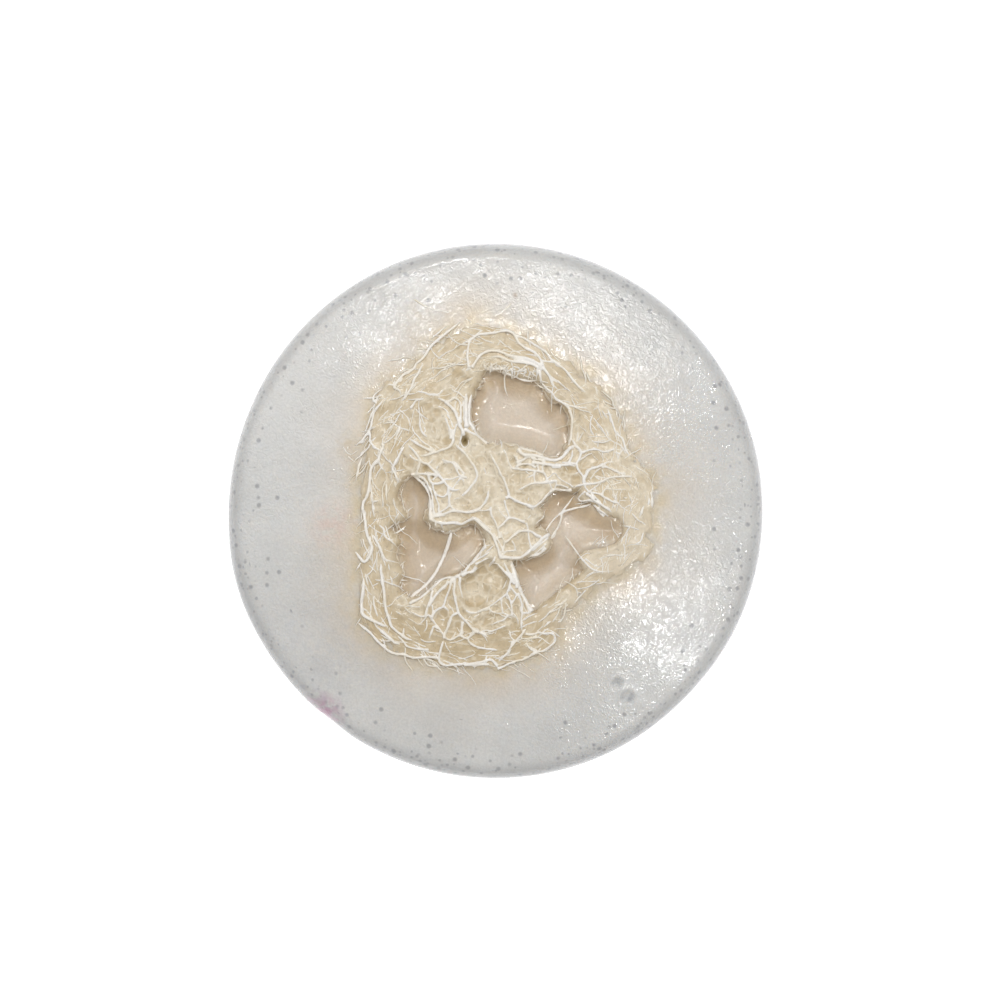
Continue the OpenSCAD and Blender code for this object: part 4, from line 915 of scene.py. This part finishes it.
def addCamera():
    place = (view["off"][0] * mm, view["off"][1] * mm, (view["focus"] + view["height"]) * mm)
    bpy.ops.object.camera_add(location=place, rotation=(0, 0, 0))
    camera = bpy.context.object
    camera.data.sensor_width = view["sensor"]
    camera.data.lens = view["sensor"] / 2 / (view["width"] / 2 / view["height"])
    camera.data.clip_start, camera.data.clip_end = view["clip"]
    scene.camera = camera


def addSoftLight(name, tilt, bearing, distance, size, power):
    a, e = math.radians(bearing), math.radians(tilt)
    toLight = Vector((math.sin(e) * math.cos(a), math.sin(e) * math.sin(a), math.cos(e)))
    bpy.ops.object.light_add(type="AREA", location=toLight * distance)
    light = bpy.context.object
    light.name = name
    light.data.shape = "RECTANGLE"
    light.data.size, light.data.size_y = size
    light.data.energy = power
    light.rotation_euler = toLight.to_track_quat("Z", "Y").to_euler()


def addFloor():
    floor = freshObject(bpy.ops.mesh.primitive_plane_add, "studioFloor", size=studio["floorSize"])
    grey = studio["floorGrey"]
    mat, _, _ = newMaterial("paleFloor", Base_Color=(grey, grey, grey, 1), Roughness=0.9,
                            Emission_Color=(1, 1, 1, 1), Emission_Strength=studio["floorGlow"])
    floor.data.materials.append(mat)


def addWorld():
    world = bpy.data.worlds.new("studio")
    scene.world = world
    world.use_nodes = True
    background = world.node_tree.nodes["Background"]
    background.inputs["Color"].default_value = (1, 1, 1, 1)
    background.inputs["Strength"].default_value = studio["world"]


addCamera()
addWorld()
addFloor()
for name, settings in studio["lights"].items():
    addSoftLight(name, *settings)
print("camera, lights and floor placed")

# the soap's shape; lumps are height, size and seed
soap = dict(
    swells=[(0.07, 9, 1), (0.012, 2.2, 2)],
    drawnUp=(0.2, 2.6),      # height and reach of the soap drawn up to the luffa
    ripples=(0.03, 1.1, 3),  # close to the luffa
    rippleReach=3,
    wellSwell=(0.12, 5, 4),
    creepShort=(0.3, -1.8, 0.1),    # up the sides of a chamber: height, from, to
    creepLong=(1.4, -3.2, 0.2),
    wellEdge=(-1.2, -2.6),
    overlap=0.1,             # soap in the chambers stays this close to the dome
    craterRim=(0.12, 0.25),  # height and width
    sideLumps=(0.06, 7, 5),
    warmReach=5.5,
    soakedReach=1.5,
    soakedPatches=[(0.6, 2.2, 7), (0.3, 0.9, 8)],
    shaded=[(-11.5, -5, 50, 0.5), (13, -2, 30, 0.15)],   # painted shade in the left and right chambers: where, spread, how much
)


def soapHeight(x, y):
    dOut = sampled(outlineField, x, y)
    z = domeHeight(x, y)
    z += layered(x, y, soap["swells"])
    height, reach = soap["drawnUp"]
    z += height * np.exp(-(np.maximum(dOut, 0) / reach) ** 2)
    z += layered(x, y, [soap["ripples"]]) * fade(dOut, soap["rippleReach"])
    floor = layered(x, y, [soap["wellSwell"]], wellLevel)
    dCh = sampled(chamberField, x, y)
    # soap creeps up the sides, least under an edge that lies to the back
    creep = 1 - (0.3 + 0.45 * ease(9, 14, y)) * ease(-1.4, 0.5, sampled(chamberField, x, y + 1.6))
    (short, *shortSpan), (long, *longSpan) = soap["creepShort"], soap["creepLong"]
    floor += short * ease(*shortSpan, dCh) + long * ease(*longSpan, dCh) * creep
    for cx, cy, r, rise in puck["risen"]:
        floor += rise * mound(x, y, cx, cy, r * r)
    floor = np.minimum(floor, domeHeight(x, y) + soap["overlap"])
    inner = ease(*soap["wellEdge"], dOut)
    z = z * (1 - inner) + floor * inner
    rimHeight, rimWidth = soap["craterRim"]
    for cx, cy, r, depth in puck["craters"]:
        away = np.hypot(x - cx, y - cy)
        z -= depth * np.clip(1 - (away / r) ** 2, 0, 1) ** 0.7
        z += rimHeight * np.exp(-((away - r) / rimWidth) ** 2)
    return z


def soapRings():   # radius and height of the rings of rim, side, foot and base
    rings = []
    sideTop = puck["top"] - rimDrop
    for k in range(1, puck["rimSteps"] + 1):
        a = (math.pi / 2 - domeTilt) * (1 - k / puck["rimSteps"])
        rings.append((rimCentre + puck["rim"] * math.cos(a), sideTop + puck["rim"] * math.sin(a)))
    for k in range(1, puck["sideSteps"] + 1):
        rings.append((puck["radius"], sideTop + (puck["foot"] - sideTop) * k / puck["sideSteps"]))
    for k in range(1, puck["footSteps"] + 1):
        a = math.pi / 2 * k / puck["footSteps"]
        rings.append((puck["radius"] - puck["foot"] * (1 - math.cos(a)), puck["foot"] * (1 - math.sin(a))))
    return rings + [(puck["radius"] * share, 0) for share in puck["baseRings"]]


def makeSoap():
    n = puck["gridCells"]
    piece = freshObject(bpy.ops.mesh.primitive_grid_add, "soapBody", x_subdivisions=n,
                        y_subdivisions=n, size=2 * mm)
    # the square grid is rounded to a disc
    u, v = getPoints(piece)[:, :2].T
    x = u * np.sqrt(1 - v * v / 2) * capRadius
    y = v * np.sqrt(1 - u * u / 2) * capRadius
    share = np.hypot(x, y) / capRadius
    grow = 1 + outOfRound(x, y) / capRadius * share ** 4
    x, y = x * grow, y * grow
    setPoints(piece, np.column_stack([x, y, soapHeight(x, y)]))

    startEditing(piece)
    for radius, z in soapRings():
        def place(moved):
            px, py = [np.array([vert.co[axis] for vert in moved]) / mm for axis in (0, 1)]
            wave = outOfRound(px, py) * min(1, radius / puck["radius"])
            length = np.hypot(px, py)
            onSide = 0 < z < puck["top"] - rimDrop
            swell = layered(px / length * 40, py / length * 40 + z, [soap["sideLumps"]]) if onSide else 0
            for vert, cx, cy, out in zip(moved, px / length, py / length, radius + wave + swell):
                vert.co = Vector((cx * out, cy * out, z)) * mm

        extrudeTo(piece, place)
    bpy.ops.mesh.edge_face_add()
    stopEditing()

    x, y, z = getPoints(piece).T
    dOut = sampled(outlineField, x, y)
    above = ease(10, 19, z)
    warm = fade(dOut, soap["warmReach"]) * above
    warm *= 0.85 + 0.3 * lumps(x, y, 7, 6)
    soaked = fade(dOut, soap["soakedReach"]) * layered(x, y, soap["soakedPatches"], 0.8)
    # painted shade on the soap in the chambers: most under the edges that lie to the back, some along every
    # edge, more in the left chamber and a little more in the right one
    shade = sum(much * mound(x, y, cx, cy, spread) for cx, cy, spread, much in soap["shaded"])
    shade += (ease(-1.8, 0.6, sampled(chamberField, x + 0.2, y + 2))
              + 0.4 * ease(-2.2, 0, sampled(chamberField, x, y)))
    setAttributes(piece, warm=np.clip(warm, 0, 1), well=ease(-1.0, -2.4, dOut) * above,
                  soaked=np.clip(soaked, 0, 1) * above,
                  brown=np.clip(shade, 0, 1) * ease(-2.0, -4.0, dOut) * above * 0.8)
    finishPiece(piece, milkySoap, "milky_soap", "soap_body")


makeSoap()
print("soap body made")

# part of the slice: name of the tissue's piece, its node, and the node of its strands
parts = dict(
    outer=("luffaOuterWall", "luffa_outer_wall", "outer_wall_strands"),
    core=("luffaCore", "luffa_core", "core_strands"),
    left=("luffaLeftPartition", "luffa_left_partition", "left_partition_strands"),
    right=("luffaRightPartition", "luffa_right_partition", "right_partition_strands"),
    front=("luffaFrontPartition", "luffa_front_partition", "front_partition_strands"),
)
strandNodes = [nodes[2] for nodes in parts.values()]


def regionOf(x, y):   # arrays in, one name per point out
    names = np.full(x.shape, "outer", dtype=object)
    cx, cy = luffa["centre"]
    bearing = np.degrees(np.arctan2(y - cy, x - cx)) % 360
    deep = sampled(outlineField, x, y) < -luffa["wall"]
    for name, (a, b) in luffa["spans"].items():
        names[deep & (bearing > a) & (bearing < b)] = name
    names[sampled(coreField, x, y) < 0] = "core"
    return names


tube = dict(step=0.3, twinWidth=0.2, twinFrom=0.3, twinShake=dict(size=1, depth=0.5, seeds=(3, 9)),
            touch=0.45,     # strands this close are joined, and flare where they meet
            joined=1.45, free=0.45, voxel=0.085, smoothing=3)

routes = {group: [(width, drop, evenLine(smoothLine(points, perSpan=4), tube["step"]))
                  for width, drop, points in lines] for group, lines in strands.items()}

# the tissue is raised under the strands that lie on it
strandPoints = [p for group in parts for _, drop, line in routes[group] if drop < 0.4 for p in line]
strandTree = kdtree.KDTree(len(strandPoints))
for i, p in enumerate(strandPoints):
    strandTree.insert((p.x, p.y, 0), i)
strandTree.balance()
print("strand routes laid out")


def toStrand(x, y):
    return np.array([strandTree.find((px, py, 0))[2] for px, py in zip(x, y)])


tissue = dict(
    ridge=(0.04, 0.3),        # height and width under a strand
    sag=(0.1, 1.1, 0.16, 0.22),   # between strands: from, to, how far, how much further inside the wall
    rough=[(0.09, 2.4, 11), (0.035, 1.1, 12), (0.015, 0.55, 13)],
    shore=[(0.7, 1.7, 15), (0.35, 0.8, 16)],   # unevenness of the line where the soap begins
    film=(0.9, 0.3, -0.9),    # the filmed cell: depth, from, to
    pitSquash=0.7,
    bottom=0.8,               # below the soap in the chambers
    paleStrand=(0.3, 0.22),
    smoothAngle=50,
)


def pits(x, y):   # one at a time: depth of each small hole
    return [deep * mound(x, y, cx, cy, r * r, tissue["pitSquash"]) for cx, cy, r, deep in luffa["pits"]]


def shoreDistance(x, y):
    return layered(x, y, tissue["shore"], sampled(outlineField, x, y))


def tissueHeight(x, y):
    inside = np.where(regionOf(x, y) == "outer", 0.0, 1.0)
    near = toStrand(x, y)
    z = domeHeight(x, y) + luffa["proud"]
    height, width = tissue["ridge"]
    z += height * np.exp(-(near / width) ** 2)
    start, end, sag, further = tissue["sag"]
    z -= ease(start, end, near) * (sag + further * inside)
    z += layered(x, y, tissue["rough"])
    depth, *span = tissue["film"]
    z -= depth * ease(*span, sampled(cellField, x, y))
    for pit in pits(x, y):
        z -= pit
    z -= luffa["sink"] * ease(-1.1, 0.4, shoreDistance(x, y)) ** 1.5
    lip = luffa["lip"]
    over = np.clip(lip - sampled(chamberField, x, y), 0, lip)
    z -= lip - np.sqrt(np.maximum(lip * lip - over * over, 0))
    return z


def nearestOn(p, loop):
    best = None
    for a, b in zip(loop, loop[1:] + loop[:1]):
        q, t = geometry.intersect_point_line((p.x, p.y, 0), (a.x, a.y, 0), (b.x, b.y, 0))
        q = q.xy if 0 < t < 1 else (a if t <= 0 else b)
        if best is None or (q - p).length < (best - p).length:
            best = q
    return best


def makeTissue(part, name, node):
    low = [min(p[k] for p in luffa["outline"]) - 1 for k in (0, 1)]
    high = [max(p[k] for p in luffa["outline"]) + 1 for k in (0, 1)]
    side = max(high[0] - low[0], high[1] - low[1])
    cells = round(side / luffa["mesh"])
    piece = freshObject(bpy.ops.mesh.primitive_grid_add, name, x_subdivisions=cells,
                        y_subdivisions=cells, size=side * mm,
                        location=((low[0] + side / 2) * mm, (low[1] + side / 2) * mm, 0))
    bm = bmesh.new()
    bm.from_mesh(piece.data)
    x, y = (np.array([face.calc_center_median().xy for face in bm.faces]) / mm).T
    keep = (regionOf(x, y) == part) & (sampled(outlineField, x, y) < 0.5) & (sampled(chamberField, x, y) > 0)
    drop = [face for face, kept in zip(bm.faces, keep) if not kept]
    bmesh.ops.delete(bm, geom=drop, context="FACES")
    # the edge along a chamber follows its outline and not the grid
    for vert in bm.verts:
        if vert.is_boundary:
            p = vert.co.xy / mm
            for loop in chambers.values():
                q = nearestOn(p, loop)
                if (q - p).length < luffa["mesh"] * 0.9:
                    vert.co.xy = q * mm
    bm.to_mesh(piece.data)
    bm.free()
    co = getPoints(piece)
    co[:, 2] = tissueHeight(co[:, 0], co[:, 1])
    setPoints(piece, co)

    def place(moved):
        for vert in moved:
            vert.co.z = (wellLevel - tissue["bottom"]) * mm

    startEditing(piece)
    extrudeTo(piece, place)
    bpy.ops.mesh.fill(use_beauty=False)
    stopEditing()

    x, y, _ = getPoints(piece).T
    region = regionOf(x, y)
    amount, width = tissue["paleStrand"]
    pale = amount * np.exp(-(toStrand(x, y) / width) ** 2) + 0.2 * lumps(x, y, 1.8, 21) + 0.22
    # paler in the core; darker towards the bottom and paler towards the right, painted shade and painted
    # light
    pale += 0.2 * (region == "core") - 0.3 * ease(-13, -19, y) + 0.2 * ease(12, 20, x)
    soapy = ease(-1.5, 0.1, shoreDistance(x, y)) * 0.9
    for cx, cy, r in luffa["drowned"]:
        soapy = np.maximum(soapy, 0.75 * mound(x, y, cx, cy, r * r))
    cx, cy = luffa["centre"]
    # painted shade in the small holes, darker where they are deeper
    setAttributes(piece, hollow=np.clip(sum(pits(x, y)) * 0.8, 0, 1), pale=np.clip(pale, 0, 1), soapy=soapy,
                  around=np.arctan2(y - cy, x - cx) * 20, depth=sampled(outlineField, x, y),
                  wall=region == "outer")
    finishPiece(piece, soakedTissue, "luffa_tissue", node, angle=tissue["smoothAngle"])


for part, (name, node, _) in parts.items():
    makeTissue(part, name, node)
print("luffa tissue made")

lining = dict(
    step=0.3,
    thickness=0.16,
    # out from the edge of the chamber, and below the tissue's top
    profile=[(0.5, 0.9), (0.28, 1.05), (0.08, 1.3), (-0.02, 1.55), (-0.1, 1.95), (-0.16, 2.5), (-0.2, 3.6)],
    waveSize=1.1,
    waveOut=0.12,
    waveUp=0.14,   # in the topmost rows only
    wavyRows=3,
    pale=(0.35, 0.35, 2.2, 31),   # mean, then amount, size and seed of the patches
)


def makeLining(name):
    loop = evenLine(chambers[name] + chambers[name][:1], lining["step"])[:-1]
    piece = freshObject(bpy.ops.mesh.primitive_circle_add, name + "ChamberLining",
                        vertices=len(loop), radius=mm)
    area = sum(a.x * b.y - a.y * b.x for a, b in zip(loop, loop[1:] + loop[:1]))
    out = []
    for a, b in zip([loop[-1]] + loop[:-1], loop[1:] + loop[:1]):
        along = (b - a).normalized()
        out.append(Vector((along.y, -along.x)) * (1 if area > 0 else -1))
    seed = len(loop)

    def ring(k, verts):
        off, drop = lining["profile"][k]
        for vert, p, n in zip(verts, loop, out):
            wave = noise.noise((p.x / lining["waveSize"], p.y / lining["waveSize"], seed + k * 0.4))
            q = p + n * (off + lining["waveOut"] * wave)
            z = float(domeHeight(np.array(p.x), np.array(p.y))) + luffa["proud"] - drop
            vert.co = Vector((q.x, q.y, z + lining["waveUp"] * wave * (k < lining["wavyRows"]))) * mm

    ring(0, piece.data.vertices)
    startEditing(piece, openEdges=False)
    for k in range(1, len(lining["profile"])):
        extrudeTo(piece, lambda moved: ring(k, sorted(moved, key=lambda vert: vert.index)))
    stopEditing()
    applyModifier(piece, "SOLIDIFY", thickness=lining["thickness"] * mm, offset=0)
    x, y, _ = getPoints(piece).T
    mean, *patches = lining["pale"]
    none = np.zeros(len(x))   # the material's other attributes
    setAttributes(piece, pale=np.clip(layered(x, y, [patches], mean), 0, 1), soapy=none, around=none,
                  depth=none, wall=none, hollow=none)
    finishPiece(piece, chamberSkin, "luffa_skin", name + "_chamber_lining")


for name in chambers:
    makeLining(name)
print("chamber linings made")

laying = dict(
    soapSkin=0.1, soapRise=(0.3, 1.6),   # strands past the edge lie this far above the dome
    edge=-0.9,
    sink=0.35,     # of the width that shows above the tissue
    wander=1.1, lift=0.1,
    endRows=3, endDip=0.3,
    overSoap=0.2,  # of the width, inside the chambers
    swell=(0.35, 1.6),
)


def groundHeight(x, y):
    dOut = sampled(outlineField, x, y)
    height, reach = laying["soapRise"]
    overSoap = domeHeight(x, y) + laying["soapSkin"] + height * np.exp(-(np.maximum(dOut, 0) / reach) ** 2)
    onTissue = tissueHeight(x, y)
    z = np.where(dOut > laying["edge"], np.maximum(overSoap, onTissue), onTissue)
    if len(z) > 2:
        z[1:-1] = np.maximum(z[1:-1], (z[:-2] + z[1:-1] + z[2:]) / 3)
    return z


def joins(p, group, own):   # does another strand of the group pass here
    others = [line for _, _, line in routes[group] if line is not own]
    return any((p - q).length < tube["touch"] for line in others for q in line)


def laid(line, width, drop, flares, shiver=0.05):   # spots and radii of a strand laid on the ground
    spots, radii = [], []
    last = len(line) - 1
    seed = line[0].x * 3.1 + line[0].y
    px, py = np.array([p.x for p in line]), np.array([p.y for p in line])
    ground = groundHeight(px, py)
    lowest = np.where(sampled(chamberField, px, py) < 0, soapHeight(px, py), 0)
    swellDepth, swellSize = laying["swell"]
    for i, p in enumerate(line):
        side = noise.noise_vector((p.x * laying["wander"], p.y * laying["wander"], seed))
        z = float(ground[i]) + width * laying["sink"] - drop + laying["lift"] * side.z
        nearEnd = 1 - min(1, min(i, last - i) / laying["endRows"])
        flare = flares[0] if i / last < 0.5 else flares[1]
        z -= laying["endDip"] * nearEnd * (flare < 1)
        z = max(z, float(lowest[i]) + laying["overSoap"] * width)
        spots.append(Vector((p.x + shiver * side.x, p.y + shiver * side.y, z)))
        swell = 1 + swellDepth * noise.noise((p.x * swellSize, p.y * swellSize, seed + 5))
        radii.append(width / 2 * swell * (1 + (flare - 1) * nearEnd))
    return spots, radii


def makeTubes(name, items, sides):
    curve = bpy.data.curves.new(name, "CURVE")
    curve.dimensions = "3D"
    curve.bevel_depth = 1.0
    curve.bevel_resolution = sides
    curve.use_fill_caps = True
    for spots, radii in items:
        spline = curve.splines.new("POLY")
        spline.points.add(len(spots) - 1)
        for point, spot, radius in zip(spline.points, spots, radii):
            point.co = (*(spot * mm), 1)
            point.radius = radius * mm
    piece = bpy.data.objects.new(name, curve)
    scene.collection.objects.link(piece)
    activate(piece)
    bpy.ops.object.convert(target="MESH")
    return bpy.context.object


def makeStrands(part, node):
    items = []
    for width, drop, line in routes[part]:
        flares = [tube["joined"] if joins(end, part, line) else tube["free"] for end in (line[0], line[-1])]
        items.append(laid(line, width, drop, flares))
        if width > tube["twinFrom"]:   # a second, thinner thread twisted with the first
            beside = [shaken(p, **tube["twinShake"]) for p in line]
            items.append(laid(beside, tube["twinWidth"], drop + 0.05, (0.6, 0.6)))
    piece = makeTubes(part + "Strands", items, 1)
    applyModifier(piece, "REMESH", mode="VOXEL", voxel_size=tube["voxel"] * mm)
    applyModifier(piece, "SMOOTH", factor=0.5, iterations=tube["smoothing"])
    finishPiece(piece, dryStrand, "luffa_strand", node)
    print(piece.name, len(piece.data.polygons), "faces")


for part, (_, _, node) in parts.items():
    makeStrands(part, node)
print("strands made")

fibres = dict(
    wallCount=620, coreCount=220, rimCount=60,
    step=0.35, margin=0.3, shiver=0.03,
    area=[(-22, 25), (-24, 28.5)],
    wallWidths=(0.12, 0.16, 0.2, 0.26),
    coreWidths=(0.12, 0.16, 0.22),
    rimWidths=(0.14, 0.18, 0.24),
    fringeWidths=(0.18, 0.26, 0.36),
    fringe=[(-1.7, 21.6), (-0.6, 21.2), (0.8, 21.1), (2, 20.9), (3.4, 20.6), (5, 20.5), (6.4, 20.4)],
    fringeSag=0.13,   # at each step
    looseSink=0.25,
)
rng = random.Random(41)


def wander(start, heading, length, bend):
    line, p, a = [Vector(start)], Vector(start), heading
    for _ in range(max(2, round(length / fibres["step"]))):
        a += rng.gauss(0, bend)
        p = p + Vector((math.cos(a), math.sin(a))) * fibres["step"]
        line.append(p.copy())
    return line


def randomSpot(allowed):
    margin = fibres["margin"]
    while True:
        px, py = [np.array([rng.uniform(*span)]) for span in fibres["area"]]
        clear = sampled(outlineField, px, py)[0] < -margin and sampled(chamberField, px, py)[0] > margin
        if clear and regionOf(px, py)[0] in allowed:
            return px[0], py[0]


def makeFineFibres():
    items = []
    cx, cy = luffa["centre"]
    for _ in range(fibres["wallCount"]):
        x, y = randomSpot(("outer",))
        heading = math.atan2(y - cy, x - cx) + math.pi / 2 + rng.gauss(0, 0.35)
        if rng.random() < 0.12:
            heading += math.pi / 2
        line = wander((x, y), heading, rng.uniform(1.2, 5.5), 0.16)
        width = rng.choice(fibres["wallWidths"])
        items.append(laid(line, width, rng.uniform(-0.02, 0.14), (0.4, 0.4), fibres["shiver"]))
    for _ in range(fibres["coreCount"]):
        x, y = randomSpot(("core", "left", "right", "front"))
        line = wander((x, y), rng.uniform(0, 2 * math.pi), rng.uniform(0.8, 3), 0.2)
        width = rng.choice(fibres["coreWidths"])
        items.append(laid(line, width, rng.uniform(0, 0.2), (0.4, 0.4), fibres["shiver"]))
    piece = makeTubes("fineFibres", items, 0)
    finishPiece(piece, fineFibre, "luffa_strand", *strandNodes)
    print("fineFibres", len(piece.data.polygons), "faces")


def makeRimFibres():
    items = []
    for loop in chambers.values():
        for _ in range(fibres["rimCount"] // 3):
            k = rng.randrange(len(loop))
            p, q = loop[k], loop[(k + 2) % len(loop)]
            along = (q - p).normalized()
            heading = math.atan2(along.y, along.x) + rng.choice((-1, 1)) * rng.uniform(0.2, 1.7)
            line = wander(p, heading, rng.uniform(0.5, 1.3), 0.2)
            width = rng.choice(fibres["rimWidths"])
            items.append(laid(line, width, rng.uniform(0.05, 0.4), (1, 0.3), fibres["shiver"]))
    # the fringe hanging into the open chamber
    for p in evenLine(smoothLine(fibres["fringe"]), tube["step"]):
        for _ in range(rng.choice((1, 2, 2, 4))):
            start = p + Vector((rng.uniform(-0.3, 0.3), rng.uniform(-0.1, 0.6)))
            line = wander(start, math.radians(rng.gauss(-85, 42)), rng.uniform(0.4, 1.7), 0.3)
            spots, radii = laid(line, rng.choice(fibres["fringeWidths"]), 0, (1, 0.25), fibres["shiver"])
            for i, spot in enumerate(spots):
                spot.z = max(spot.z, spots[0].z - fibres["fringeSag"] * i)
            items.append((spots, radii))
    piece = makeTubes("rimFibres", items, 0)
    finishPiece(piece, dryStrand, "luffa_strand", *strandNodes)


def makeLooseFibres():
    items = []
    for width, drop, line in routes["loose"]:
        spots, radii = laid(line, width, drop, (0.5, 0.5))
        items.append(([spot - Vector((0, 0, fibres["looseSink"])) for spot in spots], radii))
    piece = makeTubes("looseFibres", items, 1)
    finishPiece(piece, fineFibre, "luffa_strand", "loose_fibres")


makeFineFibres()
makeRimFibres()
makeLooseFibres()
print("fine fibres made")
